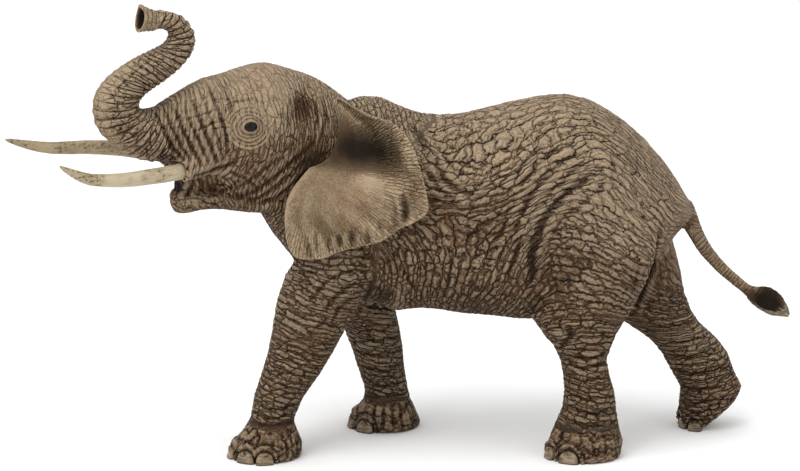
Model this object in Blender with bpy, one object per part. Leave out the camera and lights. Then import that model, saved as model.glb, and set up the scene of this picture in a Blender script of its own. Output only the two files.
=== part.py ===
"""A bull elephant toy figure, striding with its head turned and its trunk raised.

Metres, +Z up. The figure faces -X and its left side faces -Y. It stands on Z = 0 with the middle of its
bounding box over the origin. Every piece is moulded by itself and seats in its neighbour on a peg or a plug
with a small clearance all round. Tables give the animal's outlines as shares of the named sizes.
"""

import math

import bmesh
import bpy
import numpy as np
from mathutils import Matrix, Vector

# Body
BODY_LENGTH = 0.1130
BODY_DEPTH = 0.0605
BODY_WIDTH = 0.0480

# Legs: the part of each leg under its seam, and the moulded pegs
LEG_HEIGHT = 0.0325
LEG_WIDTH = 0.0176
LEG_SPREAD = 0.0280
LEG_PEG_DIAMETER = 0.0070
LEG_PEG_LENGTH = 0.0050
NAIL_WIDTH = 0.0044
NAIL_HEIGHT = 0.0038
NAIL_THICKNESS = 0.0028
NAIL_SEAT_SHARE = 0.25

# Head and neck
HEAD_LENGTH = 0.0570
HEAD_HEIGHT = 0.0395
HEAD_WIDTH = 0.0275
HEAD_TURN = math.radians(27)
NECK_PEG_DIAMETER = 0.0120
NECK_PEG_LENGTH = 0.0060
EYE_DIAMETER = 0.0030
EYELID_LENGTH = 0.0066
EYELID_HEIGHT = 0.0050
EYELID_DEPTH = 0.0034
EYELID_SEAT_SHARE = -0.250
EYE_SEAT_SHARE = 0.125
TEMPLE_HOLLOW = 0.0014
TEMPLE_RADIUS = 0.0060

# Trunk
TRUNK_RISE = 0.0300
TRUNK_RIB_DEPTH = 0.00045
TRUNK_RIBS = 28
TRUNK_PLUG_DIAMETER = 0.0070
TRUNK_PLUG_LENGTH = 0.0050
NOSTRIL_DIAMETER = 0.0023

# Tusks, with the lip that closes round each root
TUSK_LENGTH = 0.0360
TUSK_THICKNESS = 0.0042
LIP_WALL = 0.0011

# Ears
EAR_WIDTH = 0.0380
EAR_HEIGHT = 0.0405
EAR_THICKNESS = 0.0016
EAR_RIM_THICKNESS = 0.0011
EAR_STANDOFF = 0.0085
EAR_ROOT_BEND = 0.0075
EAR_FLARE = {1: 0.0050, -1: 0.0030}
EAR_RIM_ROLL = 0.0018
EAR_HOLLOW = 0.0026
EAR_BULGE = 0.0016
EAR_FLUTE = 0.0006
EAR_FLUTES = 11
EAR_SWEEP = {1: math.radians(63), -1: math.radians(70)}
EAR_PITCH = {1: 0, -1: math.radians(20)}
EAR_TENON_THICKNESS = 0.0015
EAR_TENON_LENGTH = 0.0085
EAR_TENON_HEIGHT = 0.0070
EAR_TENON_TURN = math.radians(60)

# Tail
TAIL_REACH = 0.0268
TAIL_THICKNESS = 0.0041
TUFT_THICKNESS = 0.0064

# Fits between the pieces
SEAM_GAP = 0.0003
CUT_OVERRUN = 0.0010
CUT_BLOCK_SHARE = 3.0

# How finely the round forms are drawn
BODY_SIDES = 32
HEAD_SIDES = 24
LEG_SIDES = 20
TRUNK_SIDES = 14
TUSK_SIDES = 12
TAIL_SIDES = 12
PEG_SIDES = 20
BEAD_SIDES = 10
EAR_COLUMNS = 38
EAR_ROWS = 9
PATH_STEPS = 12
UNIT_RADIUS = 0.5
SHARP_ANGLE = math.radians(50)

# Places of the pieces on the body
BODY_FRONT_SHARE = 0.332
NECK_POINT_SHARES = (0.239, 0.540)
NECK_SEAM_TOP_SHARES = (0.412, 0.917)
NECK_SEAM_BOTTOM_SHARES = (0.058, 0.339)
NECK_PEG_SHARE = 0.5
TAIL_ROOT_SHARES = (0.9900, 0.478)

# Body: station along the length, top and bottom over the leg seams as shares of the depth, half width and
# sideways place as shares of the width, widest place in the section's height, squareness of the lower half
BODY_SHARES = (
    (0.000, 0.850, 0.560, 0.165, 0.235, 0.50, 2.0),
    (0.036, 0.920, 0.435, 0.245, 0.195, 0.48, 2.0),
    (0.080, 0.955, 0.318, 0.280, 0.145, 0.46, 2.0),
    (0.133, 0.968, 0.232, 0.305, 0.095, 0.44, 2.1),
    (0.190, 0.975, 0.157, 0.335, 0.050, 0.43, 2.3),
    (0.240, 0.998, 0.107, 0.365, 0.020, 0.42, 2.5),
    (0.284, 0.990, 0.078, 0.388, 0.006, 0.42, 2.5),
    (0.329, 0.948, 0.066, 0.410, 0.000, 0.42, 2.4),
    (0.373, 0.920, 0.074, 0.434, 0.000, 0.42, 2.2),
    (0.418, 0.911, 0.066, 0.456, 0.000, 0.42, 2.1),
    (0.470, 0.917, 0.050, 0.478, 0.000, 0.42, 2.1),
    (0.530, 0.945, 0.042, 0.496, 0.000, 0.42, 2.1),
    (0.600, 0.976, 0.025, 0.494, 0.000, 0.43, 2.1),
    (0.655, 0.995, 0.024, 0.477, 0.000, 0.45, 2.2),
    (0.702, 1.003, 0.048, 0.455, 0.000, 0.47, 2.4),
    (0.756, 0.982, 0.092, 0.425, 0.000, 0.49, 2.6),
    (0.800, 0.938, 0.130, 0.395, 0.000, 0.50, 2.6),
    (0.844, 0.882, 0.170, 0.360, 0.000, 0.50, 2.5),
    (0.889, 0.806, 0.235, 0.315, 0.000, 0.50, 2.4),
    (0.933, 0.712, 0.320, 0.255, 0.000, 0.50, 2.2),
    (0.964, 0.628, 0.395, 0.190, 0.000, 0.50, 2.0),
    (0.988, 0.552, 0.440, 0.120, 0.000, 0.50, 2.0),
    (1.000, 0.505, 0.465, 0.060, 0.000, 0.50, 2.0),
)

# Legs: level, where 0 is the sole, 1 the seam and 2 the withers, then front and back edges measured from the
# foot's middle as shares of the leg height, half width and lean to the middle as shares of the leg width
LEFT_FORELEG_SHARES = (
    (0.000, -0.277, 0.289, 0.483, 0.000),
    (0.031, -0.295, 0.302, 0.500, 0.000),
    (0.123, -0.243, 0.305, 0.489, 0.000),
    (0.228, -0.160, 0.258, 0.409, 0.000),
    (0.308, -0.111, 0.240, 0.369, 0.000),
    (0.492, -0.080, 0.320, 0.364, 0.000),
    (0.683, -0.018, 0.455, 0.392, 0.017),
    (0.849, 0.031, 0.555, 0.426, 0.050),
    (1.000, 0.062, 0.640, 0.466, 0.085),
    (1.144, 0.105, 0.769, 0.489, 0.114),
    (1.256, 0.175, 0.862, 0.477, 0.131),
    (1.388, 0.338, 0.954, 0.432, 0.148),
    (1.554, 0.615, 1.030, 0.330, 0.170),
    (1.653, 0.769, 0.985, 0.199, 0.193),
)
RIGHT_FORELEG_SHARES = (
    (0.000, -0.277, 0.295, 0.483, 0.000),
    (0.031, -0.298, 0.305, 0.500, 0.000),
    (0.123, -0.252, 0.271, 0.489, 0.000),
    (0.228, -0.172, 0.222, 0.409, 0.000),
    (0.308, -0.154, 0.203, 0.369, 0.000),
    (0.492, -0.212, 0.172, 0.364, 0.000),
    (0.683, -0.271, 0.157, 0.392, 0.017),
    (0.849, -0.332, 0.132, 0.426, 0.050),
    (1.000, -0.400, 0.098, 0.466, 0.085),
    (1.144, -0.508, 0.074, 0.489, 0.114),
    (1.256, -0.538, 0.062, 0.477, 0.131),
    (1.388, -0.492, 0.062, 0.432, 0.148),
    (1.554, -0.308, 0.062, 0.330, 0.170),
    (1.653, -0.169, 0.015, 0.199, 0.193),
)
LEFT_HIND_LEG_SHARES = (
    (0.000, -0.305, 0.286, 0.477, 0.000),
    (0.031, -0.317, 0.298, 0.494, 0.000),
    (0.123, -0.295, 0.311, 0.483, 0.000),
    (0.246, -0.249, 0.274, 0.409, 0.000),
    (0.385, -0.188, 0.252, 0.364, 0.000),
    (0.523, -0.169, 0.237, 0.364, 0.000),
    (0.668, -0.178, 0.194, 0.386, 0.011),
    (0.800, -0.206, 0.169, 0.409, 0.028),
    (0.917, -0.262, 0.212, 0.443, 0.051),
    (1.000, -0.342, 0.249, 0.489, 0.080),
    (1.091, -0.462, 0.354, 0.530, 0.125),
    (1.223, -0.508, 0.486, 0.545, 0.170),
    (1.355, -0.446, 0.563, 0.520, 0.188),
    (1.488, -0.323, 0.600, 0.460, 0.205),
    (1.636, -0.138, 0.508, 0.375, 0.227),
    (1.752, 0.046, 0.323, 0.205, 0.239),
)
RIGHT_HIND_LEG_SHARES = (
    (0.000, -0.148, 0.018, 0.256, 0.000),
    (0.031, -0.166, 0.074, 0.352, 0.000),
    (0.123, -0.175, 0.191, 0.432, 0.000),
    (0.228, -0.172, 0.295, 0.477, 0.000),
    (0.338, -0.166, 0.345, 0.455, 0.000),
    (0.455, -0.235, 0.283, 0.398, 0.000),
    (0.628, -0.330, 0.220, 0.381, 0.011),
    (0.748, -0.425, 0.130, 0.409, 0.028),
    (0.883, -0.615, -0.018, 0.455, 0.051),
    (1.000, -0.800, -0.092, 0.500, 0.080),
    (1.091, -0.985, -0.154, 0.530, 0.125),
    (1.223, -1.077, -0.203, 0.545, 0.170),
    (1.355, -1.108, -0.277, 0.520, 0.188),
    (1.488, -1.108, -0.354, 0.460, 0.205),
    (1.636, -1.015, -0.492, 0.375, 0.227),
    (1.752, -0.892, -0.646, 0.205, 0.239),
)

# Every leg: its table, the station of its foot on the body, its side, the turn of each nail from straight
# ahead and the share of the leg height that the nails stand at
LEGS = {
    "left_foreleg": (LEFT_FORELEG_SHARES, 0.0135, -1, (-88, -50, -10, 30), 0.070),
    "right_foreleg": (RIGHT_FORELEG_SHARES, 0.288, 1, (-54, -12, 28, 66), 0.070),
    "left_hind_leg": (LEFT_HIND_LEG_SHARES, 0.752, -1, (-58, -12, 34), 0.070),
    "right_hind_leg": (RIGHT_HIND_LEG_SHARES, 1.040, 1, (-40, 4, 48), 0.100),
}

# Skull: place ahead of the neck point, then top, bottom and widest height, and half width
SKULL_SHARES = (
    (0.035, 0.590, 0.324, 0.456, 0.255),
    (0.088, 0.690, 0.248, 0.440, 0.364),
    (0.158, 0.775, 0.172, 0.430, 0.436),
    (0.246, 0.858, 0.096, 0.420, 0.473),
    (0.360, 0.922, 0.035, 0.420, 0.495),
    (0.482, 0.978, 0.006, 0.420, 0.495),
    (0.588, 0.960, 0.020, 0.430, 0.469),
    (0.684, 0.932, 0.096, 0.445, 0.422),
    (0.781, 0.906, 0.200, 0.480, 0.371),
    (0.856, 0.860, 0.262, 0.510, 0.335),
    (0.930, 0.808, 0.311, 0.540, 0.302),
)
SKULL_BACK_SHARES = (0.000, 0.500)
TRUNK_SEAM_SHARES = (1.000, 0.570)

# Lower jaw and the mouth's filling between it and the lip, in the skull's shares without the widest height
JAW_SHARES = (
    (0.420, 0.170, 0.033, 0.325),
    (0.526, 0.172, 0.000, 0.345),
    (0.632, 0.178, 0.022, 0.298),
    (0.737, 0.184, 0.052, 0.247),
    (0.825, 0.190, 0.056, 0.211),
    (0.885, 0.198, 0.040, 0.185),
    (0.925, 0.192, 0.046, 0.138),
)
JAW_TIP_SHARES = (0.942, 0.120)
MOUTH_SHARES = (
    (0.667, 0.340, 0.150, 0.150),
    (0.789, 0.345, 0.155, 0.145),
    (0.875, 0.340, 0.150, 0.125),
    (0.915, 0.320, 0.150, 0.090),
)
EYE_SHARES = (0.649, 0.620)
TEMPLE_SHARES = (0.340, 0.730)

# Trunk: upper and lower edge ahead of and above the seam's middle, and half width, as shares of the rise
TRUNK_SHARES = (
    (0.000, 0.250, 0.000, -0.243, 0.240),
    (0.067, 0.237, 0.150, -0.217, 0.230),
    (0.127, 0.232, 0.283, -0.163, 0.220),
    (0.160, 0.239, 0.405, -0.070, 0.210),
    (0.175, 0.252, 0.508, 0.030, 0.203),
    (0.180, 0.272, 0.568, 0.143, 0.197),
    (0.172, 0.297, 0.585, 0.270, 0.193),
    (0.145, 0.332, 0.560, 0.383, 0.190),
    (0.088, 0.370, 0.498, 0.473, 0.183),
    (0.010, 0.412, 0.408, 0.553, 0.173),
    (-0.095, 0.470, 0.270, 0.633, 0.160),
    (-0.188, 0.530, 0.138, 0.690, 0.147),
    (-0.272, 0.610, 0.007, 0.737, 0.133),
    (-0.332, 0.692, -0.067, 0.775, 0.123),
    (-0.352, 0.797, -0.100, 0.825, 0.117),
    (-0.312, 0.905, -0.095, 0.860, 0.110),
    (-0.238, 0.985, -0.057, 0.882, 0.103),
    (-0.138, 1.030, 0.002, 0.889, 0.097),
    (-0.028, 1.062, 0.080, 0.897, 0.093),
    (0.062, 1.100, 0.160, 0.903, 0.100),
)
NOSTRIL_SPREAD_SHARE = 0.46

# Tusks, left and right, which grew unlike: the lip's mouth in shares of the head, then places ahead of,
# outward from and above it as shares of the length, with thickness
TUSK_MOUTH_SHARES = {1: (0.970, 0.262, 0.352), -1: (0.970, 0.262, 0.415)}
TUSK_SHARES = {
    1: (
        (-0.180, -0.020, 0.036, 1.00),
        (0.000, 0.000, 0.000, 1.00),
        (0.253, 0.069, 0.003, 0.96),
        (0.472, 0.147, 0.017, 0.88),
        (0.720, 0.217, 0.058, 0.74),
        (0.853, 0.253, 0.117, 0.56),
        (0.950, 0.275, 0.172, 0.28),
    ),
    -1: (
        (-0.180, -0.020, 0.005, 1.00),
        (0.000, 0.000, 0.000, 1.00),
        (0.220, 0.075, 0.035, 0.96),
        (0.450, 0.150, 0.052, 0.88),
        (0.680, 0.213, 0.055, 0.76),
        (0.850, 0.250, 0.088, 0.58),
        (0.985, 0.270, 0.128, 0.28),
    ),
}
TUSK_TIP_SHARES = {1: (0.985, 0.281, 0.198), -1: (1.020, 0.275, 0.142)}
SHEATH_SHARES = ((-0.320, -0.045, 0.095), (-0.160, -0.018, 0.035), (-0.030, -0.002, 0.004))
SHEATH_THICKNESS_SHARES = (1.20, 1.06, 0.94)

# Ear: root line, free front edge and rim behind and above the root's middle, as shares of the ear's
# width and height, then the tenon's middle as shares of the same
EAR_ROOT_PLACE_SHARES = {1: (0.225, 0.330, 0.577), -1: (0.225, 0.330, 0.500)}
EAR_ROOT_SHARES = ((0.000, 0.150), (-0.005, 0.060), (-0.030, -0.030), (-0.085, -0.115))
EAR_FRONT_SHARES = ((-0.130, -0.205), (-0.200, -0.290), (-0.262, -0.365), (-0.305, -0.455), (-0.320, -0.560))
EAR_RIM_SHARES = (
    (0.040, 0.180), (0.181, 0.140), (0.267, 0.103), (0.366, 0.080), (0.459, 0.027), (0.532, -0.063),
    (0.578, -0.180), (0.618, -0.317), (0.645, -0.454), (0.636, -0.503), (0.585, -0.549), (0.512, -0.586),
    (0.472, -0.602), (0.412, -0.651), (0.332, -0.700), (0.259, -0.729), (0.145, -0.751), (0.017, -0.792),
    (-0.077, -0.824), (-0.177, -0.830), (-0.262, -0.806), (-0.300, -0.735), (-0.315, -0.660),
)
EAR_TENON_SHARES = (0.094, 0.020)
EAR_TENON_HEIGHT_SHARE = 0.5
EAR_BEND_SHARE = 3.2

# Ear's relief, as shares of the way from base to rim or along the rim: each form's place and its width
EAR_UPPER_RIM_SHARES = ((0.42, 0.12), (0.00, 0.03))
EAR_ROLL_SHARES = (0.94, 0.09)
EAR_HOLLOW_SHARES = (0.66, 0.16)
EAR_BULGE_SHARES = ((0.48, 0.20), (0.45, 0.12))
EAR_LOBE_SHARES = ((0.45, 0.15), (0.40, 0.40))

# Tail: behind and above the root as shares of the reach, and thickness as a share of the tail's or
# the tuft's
TAIL_SHARES = (
    (-0.050, 0.100, 1.27),
    (0.000, -0.015, 1.25),
    (0.090, -0.200, 1.00),
    (0.187, -0.362, 0.90),
    (0.343, -0.541, 0.78),
    (0.478, -0.660, 0.73),
    (0.600, -0.760, 0.73),
)
TUFT_SHARES = ((0.672, -0.806, 0.70), (0.776, -0.851, 1.00), (0.888, -0.910, 0.82), (0.970, -0.970, 0.35))
TUFT_TIP_SHARES = (1.000, -0.993)
TUFT_GROOVES = 6
TAIL_SOCKET_ROWS = 9
TUFT_GROOVE_SHARE = 0.09

# Finishes: colour, roughness
SKIN = ("elephant skin", (0.22, 0.165, 0.12), 0.62)
LEG_SKIN = ("leg skin", (0.19, 0.14, 0.10), 0.64)
EAR_SKIN = ("ear skin", (0.27, 0.20, 0.145), 0.60)
IVORY = ("ivory", (0.62, 0.54, 0.40), 0.42)
TAIL_SKIN = ("tail skin", (0.20, 0.155, 0.12), 0.62)


def smooth_rows(rows, steps):
    """Rows of numbers joined by a smooth curve, with a number of steps from each row to the next."""
    rows = np.asarray(rows, dtype=float)
    ends = np.vstack([2 * rows[0] - rows[1], rows, 2 * rows[-1] - rows[-2]])
    places = []
    for index in range(len(rows) - 1):
        before, start, end, after = ends[index:index + 4]
        for step in range(steps):
            t = step / steps
            slope_in, slope_out = (end - before) / 2, (after - start) / 2
            places.append(
                (2 * t ** 3 - 3 * t ** 2 + 1) * start + (t ** 3 - 2 * t ** 2 + t) * slope_in
                + (3 * t ** 2 - 2 * t ** 3) * end + (t ** 3 - t ** 2) * slope_out
            )
    places.append(rows[-1])
    return np.array(places)


def even_rows(rows, path_columns, count):
    """The same curve in evenly spaced rows, measured along the path in the given columns."""
    fine = smooth_rows(rows, PATH_STEPS)
    steps = np.linalg.norm(np.diff(path_columns(fine), axis=0), axis=1)
    length = np.concatenate([[0], np.cumsum(steps)])
    places = np.linspace(0, length[-1], count)
    return np.column_stack([np.interp(places, length, column) for column in fine.T])


def soft_step(values):
    """A share from 0 to 1 with soft ends."""
    held = np.clip(values, 0, 1)
    return held * held * (3 - 2 * held)


def oval(half_width, above, below, sides, squareness=2.0):
    """Sideways and upward places round an oval with unlike halves, whose lower one can be squarer."""
    turn = np.arange(sides) * math.tau / sides
    across, up = np.cos(turn), np.sin(turn)
    power = np.where(up > 0, 1, 2 / squareness)
    height = np.where(up > 0, above, below)
    return half_width * np.sign(across) * abs(across) ** power, height * np.sign(up) * abs(up) ** power


def finish_object(name, mesh, material, parent):
    """An object that carries a smooth mesh under a parent."""
    obj = bpy.data.objects.new(name, mesh)
    bpy.context.collection.objects.link(obj)
    obj.parent = parent
    mesh.shade_smooth()
    mesh.set_sharp_from_angle(angle=SHARP_ANGLE)
    if material is not None:
        mesh.materials.append(material)
    return obj


def make_material(finish):
    """A Principled material from a name, a colour and a roughness."""
    name, colour, roughness = finish
    material = bpy.data.materials.new(name)
    material.use_nodes = True
    shader = material.node_tree.nodes["Principled BSDF"]
    shader.inputs["Base Color"].default_value = (*colour, 1)
    shader.inputs["Roughness"].default_value = roughness
    shader.inputs["Metallic"].default_value = 0
    material.diffuse_color = (*colour, 1)
    return material


def skin_rings(name, rings, start, end, material, parent):
    """A closed form over rings of points, with a middle point that closes each end."""
    mesh = bpy.data.meshes.new(name)
    form = bmesh.new()
    layers = [[form.verts.new(point) for point in ring] for ring in rings]
    sides = len(layers[0])
    for lower, upper in zip(layers, layers[1:]):
        for side in range(sides):
            after = (side + 1) % sides
            form.faces.new((lower[side], lower[after], upper[after], upper[side]))
    for middle, layer in ((start, layers[0]), (end, layers[-1])):
        pole = form.verts.new(middle)
        for side in range(sides):
            form.faces.new((layer[side], layer[(side + 1) % sides], pole))
    bmesh.ops.recalc_face_normals(form, faces=form.faces)
    form.to_mesh(mesh)
    form.free()
    return finish_object(name, mesh, material, parent)


def as_cutter(obj):
    """Marks an object as a guide that only shapes others."""
    obj.hide_render = True
    obj.display_type = "WIRE"
    return obj


def combine(target, other, operation):
    """Adds or takes away another closed form."""
    modifier = target.modifiers.new(f"{operation.title()} {other.name}", "BOOLEAN")
    modifier.operation = operation
    modifier.solver = "EXACT"
    modifier.object = as_cutter(other)


def tube(name, path, radii, sides, material, parent, start=None, end=None):
    """A round form along a path that lies in one upright plane or leans only a little out of it."""
    path = [Vector(point) for point in path]
    rings = []
    for index, (centre, radius) in enumerate(zip(path, radii)):
        along = (path[min(index + 1, len(path) - 1)] - path[max(index - 1, 0)]).normalized()
        across = along.cross(Vector((0, 1, 0))).normalized()
        beside = across.cross(along)
        radius = np.broadcast_to(radius, sides)
        turn = np.arange(sides) * math.tau / sides
        rings.append([
            centre + across * (r * math.cos(t)) + beside * (r * math.sin(t)) for r, t in zip(radius, turn)
        ])
    return skin_rings(name, rings, start or path[0], end or path[-1], material, parent)


def peg(name, start, direction, diameter, length, parent):
    """A plain round peg from a point along a direction."""
    start, direction = Vector(start), Vector(direction).normalized()
    end = start + direction * length
    return tube(name, [start, end], [diameter / 2] * 2, PEG_SIDES, None, parent)


def bead(name, centre, size, parent, turn=0.0):
    """An egg-shaped form of three full sizes, turned about the upright."""
    mesh = bpy.data.meshes.new(name)
    form = bmesh.new()
    place = Matrix.Translation(centre) @ Matrix.Rotation(turn, 4, "Z") @ Matrix.Diagonal((*size, 1))
    rings = BEAD_SIDES // 2 + 1
    bmesh.ops.create_uvsphere(
        form, u_segments=BEAD_SIDES, v_segments=rings, radius=UNIT_RADIUS, matrix=place
    )
    form.to_mesh(mesh)
    form.free()
    return finish_object(name, mesh, None, parent)


def half_space(name, point, normal, parent):
    """A block as large as the animal, whose flat face lies at a point and that fills the side it faces."""
    size = CUT_BLOCK_SHARE * (BODY_LENGTH + BODY_DEPTH)
    mesh = bpy.data.meshes.new(name)
    form = bmesh.new()
    normal = Vector(normal).normalized()
    turn = normal.to_track_quat("Z", "Y").to_matrix().to_4x4()
    place = Matrix.Translation(Vector(point) + normal * size / 2) @ turn
    bmesh.ops.create_cube(form, size=size, matrix=place)
    form.to_mesh(mesh)
    form.free()
    return finish_object(name, mesh, None, parent)


def body_x(station):
    """Place along the figure of a share of the body's length."""
    return (station - BODY_FRONT_SHARE) * BODY_LENGTH


def body_z(share):
    """Height of a share of the body's depth over the leg seams."""
    return LEG_HEIGHT + share * BODY_DEPTH


def level_z(level):
    """Height of a level on a leg: 0 is the sole, 1 the seam and 2 the withers."""
    return level * LEG_HEIGHT if level <= 1 else body_z(level - 1)


def body_form(name, material, parent, extra=0.0):
    """The whole body from the neck's root in the head to the rump, without seams and let out if wanted."""
    rings = []
    for station, top, bottom, half_width, sideways, widest, squareness in BODY_SHARES:
        middle = bottom + (top - bottom) * widest
        above, below = (top - middle) * BODY_DEPTH + extra, (middle - bottom) * BODY_DEPTH + extra
        across, up = oval(half_width * BODY_WIDTH + extra, above, below, BODY_SIDES, squareness)
        y = across - sideways * BODY_WIDTH
        rings.append(np.column_stack([np.full(BODY_SIDES, body_x(station)), y, body_z(middle) + up]))
    ends = [ring.mean(axis=0) for ring in (rings[0], rings[-1])]
    return skin_rings(name, rings, *ends, material, parent)


def leg_form(name, leg, material, parent):
    """A whole leg from the sole to its root inside the body, before its seam is cut."""
    table, station, side, _, _ = LEGS[leg]
    rings = []
    for level, front, back, half_width, lean in table:
        depth = (back - front) / 2 * LEG_HEIGHT
        across, along = oval(half_width * LEG_WIDTH, depth, depth, LEG_SIDES)
        x = body_x(station) + (front + back) / 2 * LEG_HEIGHT + along
        y = side * (LEG_SPREAD / 2 - lean * LEG_WIDTH) + across
        rings.append(np.column_stack([x, y, np.full(LEG_SIDES, level_z(level))]))
    ends = [ring.mean(axis=0) for ring in (rings[0], rings[-1])]
    return skin_rings(name, rings, *ends, material, parent)


def leg_seam(leg):
    """Middle of a leg's seam."""
    table, station, side, _, _ = LEGS[leg]
    row = next(row for row in table if row[0] == 1)
    x = body_x(station) + (row[1] + row[2]) / 2 * LEG_HEIGHT
    return Vector((x, side * (LEG_SPREAD / 2 - row[4] * LEG_WIDTH), LEG_HEIGHT))


def build_leg(leg, material, parent):
    """A leg under its seam, with its peg on top and its toenails."""
    obj = leg_form(leg, leg, material, parent)
    seam = leg_seam(leg)
    top = seam - Vector((0, 0, SEAM_GAP))
    combine(obj, half_space(f"{leg} above seam", top, (0, 0, 1), parent), "DIFFERENCE")
    start = top - Vector((0, 0, CUT_OVERRUN))
    length = LEG_PEG_LENGTH + SEAM_GAP + CUT_OVERRUN
    pin = peg(f"{leg} peg", start, (0, 0, 1), LEG_PEG_DIAMETER, length, parent)
    combine(obj, pin, "UNION")
    table, station, side, turns, height = LEGS[leg]
    rows = np.array(table)
    front, back, half_width = (np.interp(height, rows[:, 0], rows[:, column]) for column in (1, 2, 3))
    middle_x = body_x(station) + (front + back) / 2 * LEG_HEIGHT
    middle = Vector((middle_x, side * LEG_SPREAD / 2, height * LEG_HEIGHT))
    for number, degrees in enumerate(turns):
        turn = math.radians(degrees)
        ahead = (back - front) / 2 * LEG_HEIGHT - NAIL_SEAT_SHARE * NAIL_THICKNESS
        beside = half_width * LEG_WIDTH - NAIL_SEAT_SHARE * NAIL_THICKNESS
        reach = Vector((-math.cos(turn) * ahead, math.sin(turn) * beside, 0))
        size = NAIL_THICKNESS, NAIL_WIDTH, NAIL_HEIGHT
        combine(obj, bead(f"{leg} nail {number}", middle + reach, size, parent, -turn), "UNION")
    return obj


def leg_socket(leg, parent):
    """The socket in the body for a leg's peg."""
    start = leg_seam(leg) - Vector((0, 0, CUT_OVERRUN))
    width = LEG_PEG_DIAMETER + 2 * SEAM_GAP
    return peg(f"{leg} socket", start, (0, 0, 1), width, LEG_PEG_LENGTH + SEAM_GAP + CUT_OVERRUN, parent)


def neck_seam():
    """Middle of the neck's seam and the direction that faces back into the body."""
    top = Vector((body_x(NECK_SEAM_TOP_SHARES[0]), 0, body_z(NECK_SEAM_TOP_SHARES[1])))
    bottom = Vector((body_x(NECK_SEAM_BOTTOM_SHARES[0]), 0, body_z(NECK_SEAM_BOTTOM_SHARES[1])))
    return bottom.lerp(top, NECK_PEG_SHARE), (top - bottom).cross(Vector((0, -1, 0))).normalized()


def tail_rows():
    """Places and thicknesses along the tail and its tuft."""
    rows = [(x, z, share * TAIL_THICKNESS) for x, z, share in TAIL_SHARES]
    rows += [(x, z, share * TUFT_THICKNESS) for x, z, share in TUFT_SHARES]
    return smooth_rows(rows, 3)


def tail_place(x, z):
    """A point on the tail's plane, from shares of its reach behind and above its root."""
    root_station, root_height = TAIL_ROOT_SHARES
    return Vector((body_x(root_station) + x * TAIL_REACH, 0, body_z(root_height) + z * TAIL_REACH))


def build_tail(material, parent):
    """The tail with its tuft, whose hair shows as grooves."""
    rows = tail_rows()
    tuft_start = TUFT_SHARES[0][0]
    turn = np.arange(TAIL_SIDES) * math.tau / TAIL_SIDES
    radii = []
    for x, _, thickness in rows:
        groove = TUFT_GROOVE_SHARE * np.cos(TUFT_GROOVES * turn) if x >= tuft_start else 0
        radii.append(thickness / 2 * (1 + groove))
    path = [tail_place(x, z) for x, z, _ in rows]
    return tube("tail", path, radii, TAIL_SIDES, material, parent, end=tail_place(*TUFT_TIP_SHARES))


def tail_socket(parent):
    """The socket in the rump for the tail's root."""
    rows = tail_rows()[:TAIL_SOCKET_ROWS]
    path = [tail_place(x, z) for x, z, _ in rows]
    path[0] += (path[0] - path[1]).normalized() * SEAM_GAP
    return tube("tail socket", path, rows[:, 2] / 2 + SEAM_GAP, TAIL_SIDES, None, parent)


def build_torso(material, parent):
    """The torso with the roots of the legs, cut at the neck and leg seams and bored for every peg."""
    torso = body_form("torso", material, parent)
    for leg in LEGS:
        combine(torso, leg_form(f"{leg} root", leg, None, parent), "UNION")
    middle, back = neck_seam()
    width = NECK_PEG_DIAMETER + 2 * SEAM_GAP
    length = NECK_PEG_LENGTH + SEAM_GAP + CUT_OVERRUN
    start = middle - back * CUT_OVERRUN
    combine(torso, peg("neck socket", start, back, width, length, parent), "DIFFERENCE")
    for leg in LEGS:
        combine(torso, leg_socket(leg, parent), "DIFFERENCE")
    combine(torso, tail_socket(parent), "DIFFERENCE")
    combine(torso, half_space("before neck seam", middle, -back, parent), "DIFFERENCE")
    combine(torso, half_space("under leg seams", (0, 0, LEG_HEIGHT), (0, 0, -1), parent), "DIFFERENCE")
    return torso


def head_point(forward, outward, up):
    """A point in the head's own frame: ahead of the neck point, to the left and above the jaw, in metres."""
    return Vector((-forward, -outward, up))


def head_ring(forward, top, bottom, widest, half_width):
    """An upright oval section of the head, from its sizes in metres."""
    across, up = oval(half_width, top - widest, widest - bottom, HEAD_SIDES)
    return np.column_stack([np.full(HEAD_SIDES, -forward), -across, widest + up])


def skull_rows():
    """The skull's sections in metres, ending in the section where the trunk begins."""
    scale = np.array([HEAD_LENGTH, HEAD_HEIGHT, HEAD_HEIGHT, HEAD_HEIGHT, HEAD_WIDTH])
    rows = [tuple(row) for row in np.array(SKULL_SHARES) * scale]
    seam = TRUNK_SEAM_SHARES[0] * HEAD_LENGTH, TRUNK_SEAM_SHARES[1] * HEAD_HEIGHT
    _, above, _, below, half_width = (share * TRUNK_RISE for share in TRUNK_SHARES[0])
    rows.append((seam[0] - SEAM_GAP, seam[1] + above, seam[1] + below, seam[1], half_width))
    return smooth_rows(rows, 2)


def skull_half_width(forward, up):
    """Half width of the skull at a place in metres."""
    rows = skull_rows()
    top, bottom, widest, half_width = (np.interp(forward, rows[:, 0], column) for column in rows.T[1:])
    height = top - widest if up > widest else widest - bottom
    return half_width * math.sqrt(1 - ((up - widest) / height) ** 2)


def skull_form(name, parent, extra=0.0):
    """The skull with a hollow at each temple, let out by an extra clearance if wanted."""
    let_out = np.array([0, extra, -extra, 0, extra])
    rings = np.array([head_ring(*row) for row in skull_rows() + let_out])
    forward, up = TEMPLE_SHARES[0] * HEAD_LENGTH, TEMPLE_SHARES[1] * HEAD_HEIGHT
    near = np.hypot(rings[..., 0] + forward, rings[..., 2] - up) / TEMPLE_RADIUS
    outward = np.sign(rings[..., 1]) * (abs(rings[..., 1]) > TEMPLE_HOLLOW)
    rings[..., 1] -= TEMPLE_HOLLOW * outward * np.exp(-near ** 2)
    back, height = SKULL_BACK_SHARES
    ends = head_point(back * HEAD_LENGTH, 0, height * HEAD_HEIGHT), rings[-1].mean(axis=0)
    return skin_rings(name, rings, *ends, None, parent)


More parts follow.
